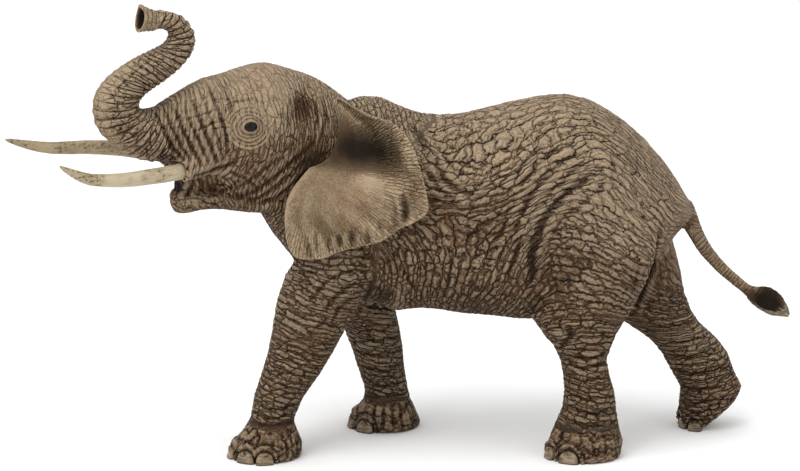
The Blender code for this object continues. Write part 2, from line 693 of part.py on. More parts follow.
def mouth_part(name, shares, tip, parent):
    """A jaw or a tongue: sections with their widest line half way up."""
    rings = []
    for forward, top, bottom, half_width in smooth_rows(shares, 2):
        height = np.array([top, bottom, (top + bottom) / 2]) * HEAD_HEIGHT
        rings.append(head_ring(forward * HEAD_LENGTH, *height, half_width * HEAD_WIDTH))
    ends = rings[0].mean(axis=0), rings[-1].mean(axis=0)
    if tip is not None:
        ends = ends[0], head_point(tip[0] * HEAD_LENGTH, 0, tip[1] * HEAD_HEIGHT)
    return skin_rings(name, rings, *ends, None, parent)


def tusk_mouth(side):
    """Where a tusk leaves its lip."""
    forward, outward, up = TUSK_MOUTH_SHARES[side]
    return head_point(forward * HEAD_LENGTH, side * outward * HEAD_WIDTH, up * HEAD_HEIGHT)


def tusk_place(side, shares):
    """A point from shares of the tusk's length ahead of, outward from and above the lip's mouth."""
    return tusk_mouth(side) + head_point(shares[0], side * shares[1], shares[2]) * TUSK_LENGTH


def build_tusk(name, side, material, parent):
    """A curved, tapering tusk whose root sits in its lip."""
    rows = smooth_rows(TUSK_SHARES[side], 2)
    path = [tusk_place(side, row[:3]) for row in rows]
    tip = tusk_place(side, TUSK_TIP_SHARES[side])
    return tube(name, path, rows[:, 3] * TUSK_THICKNESS / 2, TUSK_SIDES, material, parent, end=tip)


def tusk_socket(name, side, parent):
    """The bore in the lip for a tusk's root."""
    rows = smooth_rows(TUSK_SHARES[side], 2)[:4]
    path = [tusk_place(side, row[:3]) for row in rows]
    path[0] += (path[0] - path[1]).normalized() * SEAM_GAP
    return tube(name, path, rows[:, 3] * TUSK_THICKNESS / 2 + SEAM_GAP, TUSK_SIDES, None, parent)


def tusk_sheath(name, side, parent):
    """The lip that closes round a tusk's root."""
    rows = smooth_rows([(*place, share) for place, share in zip(SHEATH_SHARES, SHEATH_THICKNESS_SHARES)], 2)
    path = [tusk_place(side, row[:3]) for row in rows]
    return tube(name, path, rows[:, 3] * (TUSK_THICKNESS / 2 + LIP_WALL), TUSK_SIDES, None, parent)


def trunk_seam():
    """Middle of the trunk's seam."""
    return head_point(TRUNK_SEAM_SHARES[0] * HEAD_LENGTH, 0, TRUNK_SEAM_SHARES[1] * HEAD_HEIGHT)


def trunk_middles(rows):
    """Middle line of the trunk from its upper and lower edges."""
    return (rows[:, 0:2] + rows[:, 2:4]) / 2


def build_trunk(material, parent):
    """The raised trunk with its ribs, its plug and its two nostrils."""
    rows = even_rows(TRUNK_SHARES, trunk_middles, 2 * TRUNK_RIBS + 1) * TRUNK_RISE
    turn = np.arange(TRUNK_SIDES) * math.tau / TRUNK_SIDES
    rings = []
    for index, (upper_x, upper_z, lower_x, lower_z, half_width) in enumerate(rows):
        upper = trunk_seam() + head_point(upper_x, 0, upper_z)
        lower = trunk_seam() + head_point(lower_x, 0, lower_z)
        middle, half = (upper + lower) / 2, (upper - lower) / 2
        rib = 1 - (index % 2) * TRUNK_RIB_DEPTH / half.length
        rings.append([
            middle + half * (rib * math.sin(t)) + Vector((0, half_width * rib * math.cos(t), 0))
            for t in turn
        ])
    trunk = skin_rings("trunk", rings, trunk_seam(), np.mean(rings[-1], axis=0), material, parent)
    start = trunk_seam() + head_point(CUT_OVERRUN, 0, 0)
    length = TRUNK_PLUG_LENGTH + CUT_OVERRUN
    combine(trunk, peg("trunk plug", start, (1, 0, 0), TRUNK_PLUG_DIAMETER, length, parent), "UNION")
    tip, half_width = Vector(np.mean(rings[-1], axis=0)), rows[-1][4]
    for side in (-1, 1):
        centre = tip + Vector((0, side * NOSTRIL_SPREAD_SHARE * half_width, 0))
        combine(trunk, bead(f"nostril {side}", centre, (NOSTRIL_DIAMETER,) * 3, parent), "DIFFERENCE")
    return trunk


def trunk_socket(parent):
    """The socket in the snout for the trunk's plug."""
    start = trunk_seam() + head_point(CUT_OVERRUN, 0, 0)
    width = TRUNK_PLUG_DIAMETER + 2 * SEAM_GAP
    return peg("trunk socket", start, (1, 0, 0), width, TRUNK_PLUG_LENGTH + SEAM_GAP + CUT_OVERRUN, parent)


def from_place(share, place_and_width):
    """How far a share lies past a place, counted in the width given with that place."""
    place, width = place_and_width
    return (share - place) / width


def swell(share, place_and_width):
    """A smooth swelling from 0 to 1 at a place and back, as wide as given."""
    return math.exp(-from_place(share, place_and_width) ** 2)


def ear_height(row_share, column_share, from_root):
    """How far the ear's face stands out, by the shares from base to rim and along it, and the root."""
    rim_end, rim_start = EAR_UPPER_RIM_SHARES
    upper_rim = soft_step(-from_place(column_share, rim_end))
    upper_rim *= soft_step(from_place(column_share, rim_start))
    lobe_start, lobe_root = EAR_LOBE_SHARES
    lobes = soft_step(from_place(column_share, lobe_start)) * soft_step(from_place(row_share, lobe_root))
    bulge_out, bulge_along = EAR_BULGE_SHARES
    stand = EAR_STANDOFF * soft_step(from_root / EAR_ROOT_BEND)
    roll = EAR_RIM_ROLL * upper_rim * swell(row_share, EAR_ROLL_SHARES)
    hollow = EAR_HOLLOW * upper_rim * swell(row_share, EAR_HOLLOW_SHARES)
    bulge = EAR_BULGE * swell(row_share, bulge_out) * swell(column_share, bulge_along)
    flute = EAR_FLUTE * lobes * math.cos(math.tau * EAR_FLUTES * column_share)
    return stand + roll - hollow + bulge + flute


def ear_frame(side):
    """Root place of an ear, then its directions back along its plane, upward in it and out from it."""
    sweep, pitch = EAR_SWEEP[side], EAR_PITCH[side]
    forward, outward, up = EAR_ROOT_PLACE_SHARES[side]
    place = head_point(forward * HEAD_LENGTH, side * outward * HEAD_WIDTH, up * HEAD_HEIGHT)
    level = head_point(-math.sin(sweep), side * math.cos(sweep), 0)
    upright = Vector((0, 0, 1))
    back = level * math.cos(pitch) + upright * math.sin(pitch)
    rise = upright * math.cos(pitch) - level * math.sin(pitch)
    return place, back, rise, head_point(math.cos(sweep), side * math.sin(sweep), 0)


def ear_tenon(name, side, extra, parent):
    """The flat tenon that holds an ear in the skull, let out by an extra clearance."""
    place, back, rise, out = ear_frame(side)
    across, up = EAR_TENON_SHARES
    middle = place + back * (across * EAR_WIDTH) + rise * (up * EAR_HEIGHT)
    middle += out * (EAR_TENON_HEIGHT_SHARE * EAR_STANDOFF)
    along = back * math.cos(EAR_TENON_TURN) + out * math.sin(EAR_TENON_TURN)
    size = EAR_TENON_LENGTH + 2 * extra, EAR_TENON_THICKNESS + 2 * extra, EAR_TENON_HEIGHT + 2 * extra
    return bead(name, middle, size, parent, math.atan2(along.y, along.x))


def build_ear(name, side, material, parent, head_frame):
    """An ear as a curved sheet that fits against the head and holds on its tenon."""
    size = np.array([EAR_WIDTH, EAR_HEIGHT])
    root = even_rows(EAR_ROOT_SHARES, lambda rows: rows, EAR_COLUMNS) * size
    base = even_rows(EAR_ROOT_SHARES + EAR_FRONT_SHARES, lambda rows: rows, EAR_COLUMNS) * size
    rim = even_rows(EAR_RIM_SHARES, lambda rows: rows, EAR_COLUMNS) * size
    place, back, rise, out = ear_frame(side)
    rear = rim[:, 0].max()
    faces = {1: [], -1: []}
    for share in np.linspace(0, 1, EAR_ROWS):
        flat = base + (rim - base) * share
        from_root = np.linalg.norm(flat[:, None] - root[None], axis=2).min(axis=1)
        for column, (across, up) in enumerate(flat):
            bend = soft_step(from_root[column] / EAR_ROOT_BEND)
            thickness = EAR_THICKNESS + (EAR_RIM_THICKNESS - EAR_THICKNESS) * share
            thickness *= 1 + EAR_BEND_SHARE * bend * (1 - bend)
            height = ear_height(share, column / (EAR_COLUMNS - 1), from_root[column])
            height += EAR_FLARE[side] * (max(across, 0) / rear) ** 2
            middle = place + back * across + rise * up
            for face in (1, -1):
                faces[face].append(middle + out * (height + face * thickness / 2))
    ear = sheet(name, faces[1], faces[-1], EAR_ROWS, EAR_COLUMNS, material, head_frame)
    combine(ear, skull_form(f"{name} skull fit", head_frame, SEAM_GAP), "DIFFERENCE")
    combine(ear, body_form(f"{name} neck fit", None, parent, SEAM_GAP), "DIFFERENCE")
    combine(ear, ear_tenon(f"{name} tenon", side, 0, head_frame), "UNION")
    return ear


def sheet(name, front, back, rows, columns, material, parent):
    """A closed sheet from two grids of points with the same rows and columns."""
    mesh = bpy.data.meshes.new(name)
    form = bmesh.new()
    grids = [[form.verts.new(point) for point in grid] for grid in (front, back)]
    for grid in grids:
        for row in range(rows - 1):
            for column in range(columns - 1):
                corner = row * columns + column
                corners = corner, corner + 1, corner + columns + 1, corner + columns
                form.faces.new([grid[place] for place in corners])
    first, last = range(columns), range((rows - 1) * columns, rows * columns)
    left, right = range(0, rows * columns, columns), range(columns - 1, rows * columns, columns)
    for edge in (first, last, left, right):
        for start, end in zip(edge, list(edge)[1:]):
            form.faces.new([grids[0][start], grids[0][end], grids[1][end], grids[1][start]])
    bmesh.ops.recalc_face_normals(form, faces=form.faces)
    form.to_mesh(mesh)
    form.free()
    return finish_object(name, mesh, material, parent)


def build_head(material, parent, head_frame):
    """The head with neck, jaw, mouth, lips and eyes, cut at the neck seam and bored for what it carries."""
    head = body_form("head", material, parent)
    combine(head, skull_form("skull", head_frame), "UNION")
    middle, back = neck_seam()
    combine(head, half_space("behind neck seam", middle - back * SEAM_GAP, back, parent), "DIFFERENCE")
    length = NECK_PEG_LENGTH + SEAM_GAP + CUT_OVERRUN
    start = middle - back * (SEAM_GAP + CUT_OVERRUN)
    combine(head, peg("neck peg", start, back, NECK_PEG_DIAMETER, length, parent), "UNION")
    combine(head, mouth_part("jaw", JAW_SHARES, JAW_TIP_SHARES, head_frame), "UNION")
    combine(head, mouth_part("mouth", MOUTH_SHARES, None, head_frame), "UNION")
    forward, up = EYE_SHARES[0] * HEAD_LENGTH, EYE_SHARES[1] * HEAD_HEIGHT
    outward = skull_half_width(forward, up)
    for side, word in ((1, "left"), (-1, "right")):
        combine(head, tusk_sheath(f"{word} lip", side, head_frame), "UNION")
        lid = head_point(forward, side * (outward + EYELID_SEAT_SHARE * EYELID_DEPTH), up)
        ball = head_point(forward, side * (outward + EYE_SEAT_SHARE * EYELID_DEPTH), up)
        lid_size = EYELID_LENGTH, EYELID_DEPTH, EYELID_HEIGHT
        combine(head, bead(f"{word} eyelid", lid, lid_size, head_frame), "UNION")
        combine(head, bead(f"{word} eye", ball, (EYE_DIAMETER,) * 3, head_frame), "UNION")
    combine(head, trunk_socket(head_frame), "DIFFERENCE")
    for side, word in ((1, "left"), (-1, "right")):
        combine(head, tusk_socket(f"{word} tusk socket", side, head_frame), "DIFFERENCE")
        combine(head, ear_tenon(f"{word} ear socket", side, SEAM_GAP, head_frame), "DIFFERENCE")
    return head


def stand_over_origin(figure, pieces):
    """Moves the figure onto Z = 0 with the middle of its bounding box over the origin."""
    bpy.context.view_layer.update()
    depsgraph = bpy.context.evaluated_depsgraph_get()
    corners = []
    for piece in pieces:
        shown = piece.evaluated_get(depsgraph)
        corners += [shown.matrix_world @ vertex.co for vertex in shown.data.vertices]
    low = Vector(map(min, zip(*corners)))
    high = Vector(map(max, zip(*corners)))
    figure.location = -Vector(((low.x + high.x) / 2, (low.y + high.y) / 2, low.z))


def main():
    """Builds the figure."""
    for obj in list(bpy.data.objects):
        bpy.data.objects.remove(obj, do_unlink=True)
    figure = bpy.data.objects.new("figure", None)
    bpy.context.collection.objects.link(figure)
    head_frame = bpy.data.objects.new("head frame", None)
    bpy.context.collection.objects.link(head_frame)
    head_frame.parent = figure
    station, height = NECK_POINT_SHARES
    head_frame.location = (body_x(station), 0, body_z(height))
    head_frame.rotation_euler.z = HEAD_TURN

    finishes = SKIN, LEG_SKIN, EAR_SKIN, IVORY, TAIL_SKIN
    skin, leg_skin, ear_skin, ivory, tail_skin = map(make_material, finishes)
    pieces = [build_torso(skin, figure), build_head(skin, figure, head_frame), build_trunk(skin, head_frame)]
    pieces += [build_leg(leg, leg_skin, figure) for leg in LEGS]
    for side, word in ((1, "left"), (-1, "right")):
        pieces.append(build_tusk(f"{word}_tusk", side, ivory, head_frame))
        pieces.append(build_ear(f"{word}_ear", side, ear_skin, figure, head_frame))
    pieces.append(build_tail(tail_skin, figure))
    stand_over_origin(figure, pieces)


main()
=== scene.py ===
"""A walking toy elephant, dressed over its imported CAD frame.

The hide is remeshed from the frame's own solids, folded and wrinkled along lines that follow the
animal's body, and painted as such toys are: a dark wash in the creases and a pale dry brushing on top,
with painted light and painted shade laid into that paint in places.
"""

import logging
import math
from dataclasses import dataclass, field, replace
from enum import Enum
from typing import Sequence

import bpy
import numpy as np
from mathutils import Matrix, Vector
from mathutils.bvhtree import BVHTree


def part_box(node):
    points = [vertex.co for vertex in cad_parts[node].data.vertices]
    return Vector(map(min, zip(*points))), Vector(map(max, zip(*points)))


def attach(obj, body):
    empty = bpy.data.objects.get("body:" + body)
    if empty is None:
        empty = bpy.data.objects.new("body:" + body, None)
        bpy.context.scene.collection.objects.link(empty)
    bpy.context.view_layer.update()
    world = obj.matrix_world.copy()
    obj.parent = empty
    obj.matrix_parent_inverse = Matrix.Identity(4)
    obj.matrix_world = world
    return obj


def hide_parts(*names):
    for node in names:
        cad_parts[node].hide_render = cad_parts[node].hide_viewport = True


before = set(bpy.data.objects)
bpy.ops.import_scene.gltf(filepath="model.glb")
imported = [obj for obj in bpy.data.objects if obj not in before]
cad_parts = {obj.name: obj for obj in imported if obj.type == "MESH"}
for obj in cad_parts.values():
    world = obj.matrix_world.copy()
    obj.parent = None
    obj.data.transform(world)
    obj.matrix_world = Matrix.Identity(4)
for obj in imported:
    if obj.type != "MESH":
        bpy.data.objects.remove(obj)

LOG = logging.getLogger("elephant")
MM = 0.001
DOUBLES = 2e-6

Array = np.ndarray
Pixels = Sequence[tuple[float, float]]


class Half(Enum):
    """The parts of the figure that have a middle plane of their own."""

    BODY = "body"
    HEAD = "head"


class Course(Enum):
    """How a line of wrinkles runs over the middle plane of the figure."""

    ALONG = "along"
    ACROSS = "across"


def unit(vectors: Array) -> Array:
    """Vectors of length one, along the last axis."""
    return vectors / np.maximum(np.linalg.norm(vectors, axis=-1, keepdims=True), 1e-12)


def ease(low: float, high: float, value: Array) -> Array:
    """A smooth step from 0 at low to 1 at high."""
    share = np.clip((value - low) / (high - low), 0.0, 1.0)
    return share * share * (3.0 - 2.0 * share)


@dataclass(frozen=True)
class Picture:
    """The camera that the figure is seen with, and the way from its pixels to places in space.

    Args:
        width: Pixels across the picture.
        height: Pixels up the picture.
        pixels_per_mm: Scale of the picture at the target.
        distance: Metres from the camera to the target.
        elevation: Degrees that the camera looks down.
        target: The place at the picture's centre.
        sensor: Width of the camera's sensor in millimetres.
    """

    width: int = 800
    height: int = 471
    pixels_per_mm: float = 3.829
    distance: float = 0.850
    elevation: float = 13.0
    target: tuple[float, float, float] = (-0.00105, 0.01222, 0.0556)
    sensor: float = 36.0

    def ahead(self) -> Array:
        """The direction the camera looks in."""
        angle = math.radians(self.elevation)
        return np.array([0.0, math.cos(angle), -math.sin(angle)])

    def up(self) -> Array:
        """The direction that is up in the picture."""
        angle = math.radians(self.elevation)
        return np.array([0.0, math.sin(angle), math.cos(angle)])

    def eye(self) -> Array:
        """The camera's place."""
        return np.array(self.target) - self.ahead() * self.distance

    def ray(self, x: float, y: float) -> Array:
        """The direction that a pixel is seen in.

        Args:
            x: Pixels from the left.
            y: Pixels from the top.

        Returns:
            A direction of length one.
        """
        scale = self.pixels_per_mm / MM
        right = (x - self.width / 2) / scale
        rise = (self.height / 2 - y) / scale
        return unit(self.ahead() * self.distance + np.array([right, 0.0, 0.0]) + self.up() * rise)

    def on_plane(self, x: float, y: float, point: Array, normal: Array) -> Array:
        """The place where a pixel's ray meets a plane.

        Args:
            x: Pixels from the left.
            y: Pixels from the top.
            point: A point of the plane.
            normal: The plane's normal.

        Returns:
            The place.
        """
        eye, ray = self.eye(), self.ray(x, y)
        return eye + ray * (np.dot(point - eye, normal) / np.dot(ray, normal))

    def project(self, points: Array) -> Array:
        """Where places are seen, in pixels."""
        away = points - np.array(self.target)
        depth = (self.distance + away @ self.ahead()) / self.distance
        scale = self.pixels_per_mm / MM
        x = self.width / 2 + scale * away[:, 0] / depth
        return np.stack([x, self.height / 2 - scale * (away @ self.up()) / depth], 1)

    def make_camera(self) -> bpy.types.Object:
        """The camera, as the scene's own."""
        lens = bpy.data.cameras.new("camera")
        lens.sensor_width = self.sensor
        lens.lens = self.pixels_per_mm / MM * self.distance / self.width * self.sensor
        lens.clip_start, lens.clip_end = 0.05, 20.0
        camera = bpy.data.objects.new("camera", lens)
        camera.location = self.eye()
        camera.rotation_euler = (math.radians(90.0 - self.elevation), 0.0, 0.0)
        bpy.context.scene.collection.objects.link(camera)
        bpy.context.scene.camera = camera
        return camera


@dataclass(frozen=True)
class Middle:
    """A middle plane of the figure, with the figure's left side on its outward side.

    Args:
        point: A point of the plane.
        outward: Direction towards the figure's left.
        forward: Direction in the plane towards the front.
    """

    point: tuple[float, float, float]
    outward: tuple[float, float, float]
    forward: tuple[float, float, float]

    def side(self, points: Array) -> Array:
        """Metres that points lie to the figure's left of the plane."""
        return (points - np.array(self.point)) @ np.array(self.outward)

    def mirror(self, points: Array) -> Array:
        """Points on the other side of the plane."""
        return points - 2.0 * self.side(points)[..., None] * np.array(self.outward)

    def mirror_way(self, ways: Array) -> Array:
        """Directions on the other side of the plane."""
        outward = np.array(self.outward)
        return ways - 2.0 * (ways @ outward)[..., None] * outward


TURN = math.radians(27.0)
NECK = (-0.01095, 0.01222, 0.0652)
BODY_MIDDLE = Middle(NECK, (0.0, -1.0, 0.0), (-1.0, 0.0, 0.0))
HEAD_MIDDLE = Middle(
    NECK,
    (math.sin(TURN), -math.cos(TURN), 0.0),
    (-math.cos(TURN), -math.sin(TURN), 0.0),
)


def corner_normals(points: Array, faces: Array) -> Array:
    """Outward directions at the corners of triangles or quads.

    Args:
        points: Places of the corners.
        faces: Three or four corner numbers for each face.

    Returns:
        A direction for each corner.
    """
    first, second = points[faces[:, -2]] - points[faces[:, 0]], points[faces[:, -1]] - points[faces[:, -3]]
    cross = np.cross(first, second)
    total = np.zeros_like(points)
    for axis in range(3):
        for corners in faces.T:
            total[:, axis] += np.bincount(corners, cross[:, axis], len(points))
    return unit(total)


def halves(quads: Array) -> Array:
    """Quads, each cut into two triangles."""
    return np.concatenate([quads[:, [0, 1, 2]], quads[:, [0, 2, 3]]])


def tube_faces(rows: int, cols: int) -> Array:
    """Triangles of a tube made of rings and closed at both ends.

    Args:
        rows: How many rings there are.
        cols: Corners in a ring.

    Returns:
        The triangles. The middle of the first end comes after the rings, and that of the last end after it.
    """
    index = np.arange(rows * cols).reshape(rows, cols)
    after = np.roll(index, -1, axis=1)
    quads = np.stack([index[:-1], index[1:], after[1:], after[:-1]], -1).reshape(-1, 4)
    first, last = (np.full(cols, rows * cols + k) for k in range(2))
    ends = [np.stack([index[0], after[0], first], 1), np.stack([after[-1], index[-1], last], 1)]
    return np.concatenate([halves(quads), *ends])


def turned_out(points: Array, faces: Array) -> Array:
    """The triangles of a closed surface, facing outwards."""
    a, b, c = (points[faces[:, k]] - points.mean(0) for k in range(3))
    return faces if (np.cross(a, b) * c).sum() > 0 else faces[:, ::-1]


class Shell:
    """A closed surface of quads, as arrays.

    Args:
        points: Places of the corners, in metres.
        quads: Four corner numbers for each face.
    """

    def __init__(self, points: Array, quads: Array) -> None:
        """Finds the edges of the quads and how many meet at each corner."""
        self.points = points
        self.quads = quads
        sides = np.concatenate([quads[:, [k, (k + 1) % 4]] for k in range(4)])
        sides.sort(axis=1)
        self.edges = np.unique(sides, axis=0)
        self.degree = np.maximum(np.bincount(self.edges.ravel(), minlength=len(points)), 1)

    def spread(self, values: Array) -> Array:
        """The mean of each corner's neighbours."""
        first, second = self.edges.T
        columns = values.reshape(len(values), -1)
        result = np.empty_like(columns)
        for k in range(columns.shape[1]):
            total = np.bincount(first, columns[second, k], len(values))
            total += np.bincount(second, columns[first, k], len(values))
            result[:, k] = total / self.degree
        return result.reshape(values.shape)

    def blur(self, values: Array, rounds: int) -> Array:
        """Values evened out over the surface.

        Args:
            values: One row for each corner.
            rounds: How many times neighbours are mixed.

        Returns:
            The evened values.
        """
        for _ in range(rounds):
            values = 0.5 * values + 0.5 * self.spread(values)
        return values

    def normals(self) -> Array:
        """Outward directions at the corners."""
        return corner_normals(self.points, self.quads)

    def triangles(self) -> Array:
        """The quads, each cut in two."""
        return halves(self.quads)

    def tree(self) -> BVHTree:
        """The surface, to cast rays at and to find the nearest places on."""
        return BVHTree.FromPolygons(self.points.tolist(), self.quads.tolist())


def mesh_points(mesh: bpy.types.Mesh) -> Array:
    """The places of a mesh's vertices."""
    points = np.empty(len(mesh.vertices) * 3)
    mesh.vertices.foreach_get("co", points)
    return points.reshape(-1, 3)


def mesh_corners(mesh: bpy.types.Mesh, size: int) -> Array:
    """A mesh's vertex numbers, one row for each face of the given size."""
    corners = np.empty(len(mesh.loops), np.int32)
    mesh.loops.foreach_get("vertex_index", corners)
    return corners.astype(np.int64).reshape(-1, size)


def node_arrays(name: str, swell: float) -> tuple[Array, Array]:
    """A CAD node's solid with its doubles merged, let out a little.

    Args:
        name: The node.
        swell: Metres that the solid is let out by.

    Returns:
        Its points and its triangles.
    """
    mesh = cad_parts[name].data
    points = mesh_points(mesh)
    rounded = np.round(points / DOUBLES).astype(np.int64)
    _, first, back = np.unique(rounded, axis=0, return_index=True, return_inverse=True)
    merged, triangles = points[first], back.ravel()[mesh_corners(mesh, 3)]
    return merged + corner_normals(merged, triangles) * swell, triangles


def make_mesh(name: str, points: Array, faces: Array) -> bpy.types.Mesh:
    """A smooth-shaded mesh from arrays.

    Args:
        name: The mesh's name.
        points: Places of its vertices.
        faces: Vertex numbers, one row for each face.

    Returns:
        The mesh.
    """
    mesh = bpy.data.meshes.new(name)
    count, size = faces.shape
    mesh.vertices.add(len(points))
    mesh.vertices.foreach_set("co", np.ascontiguousarray(points, np.float32).ravel())
    mesh.loops.add(count * size)
    mesh.loops.foreach_set("vertex_index", np.ascontiguousarray(faces, np.int32).ravel())
    mesh.polygons.add(count)
    mesh.polygons.foreach_set("loop_start", np.arange(0, count * size, size, dtype=np.int32))
    mesh.update(calc_edges=True)
    mesh.shade_smooth()
    return mesh


def read_shell(mesh: bpy.types.Mesh) -> Shell:
    """A mesh of quads as a shell."""
    return Shell(mesh_points(mesh), mesh_corners(mesh, 4))


def add_object(name: str, mesh: bpy.types.Mesh) -> bpy.types.Object:
    """An object of a mesh, linked to the scene."""
    thing = bpy.data.objects.new(name, mesh)
    bpy.context.scene.collection.objects.link(thing)
    return thing


def evaluated_mesh(thing: bpy.types.Object) -> bpy.types.Mesh:
    """What an object's modifiers make of it, as a plain mesh."""
    graph = bpy.context.evaluated_depsgraph_get()
    return bpy.data.meshes.new_from_object(thing.evaluated_get(graph))


def remesh(nodes: Sequence[str], voxel: float, rounds: int, swell: float = 0.0002) -> Shell:
    """One even skin over several CAD solids.

    Args:
        nodes: The CAD nodes it covers.
        voxel: Size of a quad in metres.
        rounds: How many times the skin is evened.
        swell: Metres the solids are let out by, so that they meet.

    Returns:
        The skin, at the size of the solids.
    """
    points, faces, count = [], [], 0
    for name in nodes:
        some, triangles = node_arrays(name, swell)
        points.append(some)
        faces.append(triangles + count)
        count += len(some)
    mesh = make_mesh("solids", np.concatenate(points), np.concatenate(faces))
    thing = add_object("solids", mesh)
    tool = thing.modifiers.new("skin", "REMESH")
    tool.mode, tool.voxel_size, tool.adaptivity = "VOXEL", voxel, 0.0
    shell = read_shell(evaluated_mesh(thing))
    bpy.data.objects.remove(thing)
    shell.points = shell.blur(shell.points, rounds)
    shell.points = shell.points - shell.normals() * swell
    return shell


class Wiring:
    """Adds nodes to a tree, for shaders and geometry alike.

    Args:
        tree: The tree.
    """

    def __init__(self, tree: bpy.types.NodeTree) -> None:
        """Takes the tree that the nodes go into."""
        self.tree = tree

    def node(self, kind: str, **settings: object) -> bpy.types.Node:
        """A new node with some of its properties set."""
        node = self.tree.nodes.new(kind)
        for name, value in settings.items():
            setattr(node, name, value)
        return node

    def feed(self, socket: bpy.types.NodeSocket, value: object) -> None:
        """Links a socket to another, or gives it a value."""
        if isinstance(value, bpy.types.NodeSocket):
            self.tree.links.new(value, socket)
        elif value is not None:
            socket.default_value = value

    def math(self, operation: str, *values: object, clamp: bool = False) -> bpy.types.NodeSocket:
        """A number worked out from others."""
        node = self.node("ShaderNodeMath", operation=operation, use_clamp=clamp)
        for socket, value in zip(node.inputs, values):
            self.feed(socket, value)
        return node.outputs[0]

    def vector(self, operation: str, *values: object, scale: object = None) -> bpy.types.NodeSocket:
        """A vector, or its length or product, worked out from others."""
        node = self.node("ShaderNodeVectorMath", operation=operation)
        for socket, value in zip(node.inputs, values):
            self.feed(socket, value)
        if scale is not None:
            self.feed(node.inputs["Scale"], scale)
        return node.outputs["Value" if operation in ("DOT_PRODUCT", "LENGTH", "DISTANCE") else "Vector"]

    def noise(
        self, place: object, scale: float, detail: float = 2.0, rough: float = 0.5
    ) -> bpy.types.NodeSocket:
        """Soft noise about a half, over a place in metres.

        Args:
            place: The place.
            scale: Waves to the metre.
            detail: Finer layers.
            rough: Strength of the finer layers.

        Returns:
            A number from 0 to 1.
        """
        node = self.node("ShaderNodeTexNoise", noise_dimensions="3D", normalize=True)
        self.feed(node.inputs["Vector"], place)
        node.inputs["Scale"].default_value = scale
        node.inputs["Detail"].default_value = detail
        node.inputs["Roughness"].default_value = rough
        return node.outputs[0]

    def step(
        self, value: object, low: object, high: object, start: object = 0.0, end: object = 1.0
    ) -> bpy.types.NodeSocket:
        """A smooth step of a number between two levels.

        Args:
            value: The number.
            low: Level where the step starts.
            high: Level where it ends.
            start: What comes out below.
            end: What comes out above.

        Returns:
            The stepped number.
        """
        node = self.node("ShaderNodeMapRange", interpolation_type="SMOOTHSTEP")
        for socket, given in zip(node.inputs, (value, low, high, start, end)):
            self.feed(socket, given)
        return node.outputs[0]

    def mix(self, share: object, first: object, second: object) -> bpy.types.NodeSocket:
        """One colour laid over another by a share."""
        node = self.node("ShaderNodeMix", data_type="RGBA", clamp_factor=True)
        for socket, value in zip((node.inputs[0], node.inputs[6], node.inputs[7]), (share, first, second)):
            self.feed(socket, value)
        return node.outputs[2]

    def combine(self, *values: object) -> bpy.types.NodeSocket:
        """A vector made of up to three numbers."""
        node = self.node("ShaderNodeCombineXYZ")
        for socket, value in zip(node.inputs, values):
            self.feed(socket, value)
        return node.outputs[0]

    def named(self, name: str) -> bpy.types.NodeSocket:
        """The three numbers that a mesh carries under a name, in a geometry tree."""
        node = self.node("GeometryNodeInputNamedAttribute", data_type="FLOAT_VECTOR")
        node.inputs["Name"].default_value = name
        return node.outputs[0]

    def split(self, vector: object) -> tuple[bpy.types.NodeSocket, ...]:
        """The three numbers of a vector."""
        node = self.node("ShaderNodeSeparateXYZ")
        self.feed(node.inputs[0], vector)
        return node.outputs[0], node.outputs[1], node.outputs[2]

    def net(
        self, first: object, second: object, scale: float, random: float
    ) -> tuple[bpy.types.NodeSocket, ...]:
        """A plane cut into uneven cells.

        Args:
            first: How far along one way.
            second: How far along the other.
            scale: Cells to each unit.
            random: How uneven the cells are.

        Returns:
            The distance to the cell's edge, and the cell's own number from 0 to 1.
        """
        spot = self.combine(first, second)
        edge = self.node("ShaderNodeTexVoronoi", voronoi_dimensions="2D", feature="DISTANCE_TO_EDGE")
        own = self.node("ShaderNodeTexVoronoi", voronoi_dimensions="2D", feature="F1")
        for node in (edge, own):
            self.feed(node.inputs["Vector"], spot)
            node.inputs["Scale"].default_value = scale
            node.inputs["Randomness"].default_value = random
        return edge.outputs["Distance"], self.split(own.outputs["Color"])[0]

    def cells(self, value: object, random: object) -> tuple[bpy.types.NodeSocket, bpy.types.NodeSocket]:
        """A line cut into uneven cells.

        Args:
            value: How far along the line.
            random: How uneven the cells are.

        Returns:
            The distance to the cell's end, and the cell's own number from 0 to 1.
        """
        edge = self.node("ShaderNodeTexVoronoi", voronoi_dimensions="1D", feature="DISTANCE_TO_EDGE")
        own = self.node("ShaderNodeTexVoronoi", voronoi_dimensions="1D", feature="F1")
        for node in (edge, own):
            self.feed(node.inputs["W"], value)
            self.feed(node.inputs["Randomness"], random)
            node.inputs["Scale"].default_value = 1.0
        return edge.outputs["Distance"], self.vector("DOT_PRODUCT", own.outputs["Color"], (1.0, 0.0, 0.0))


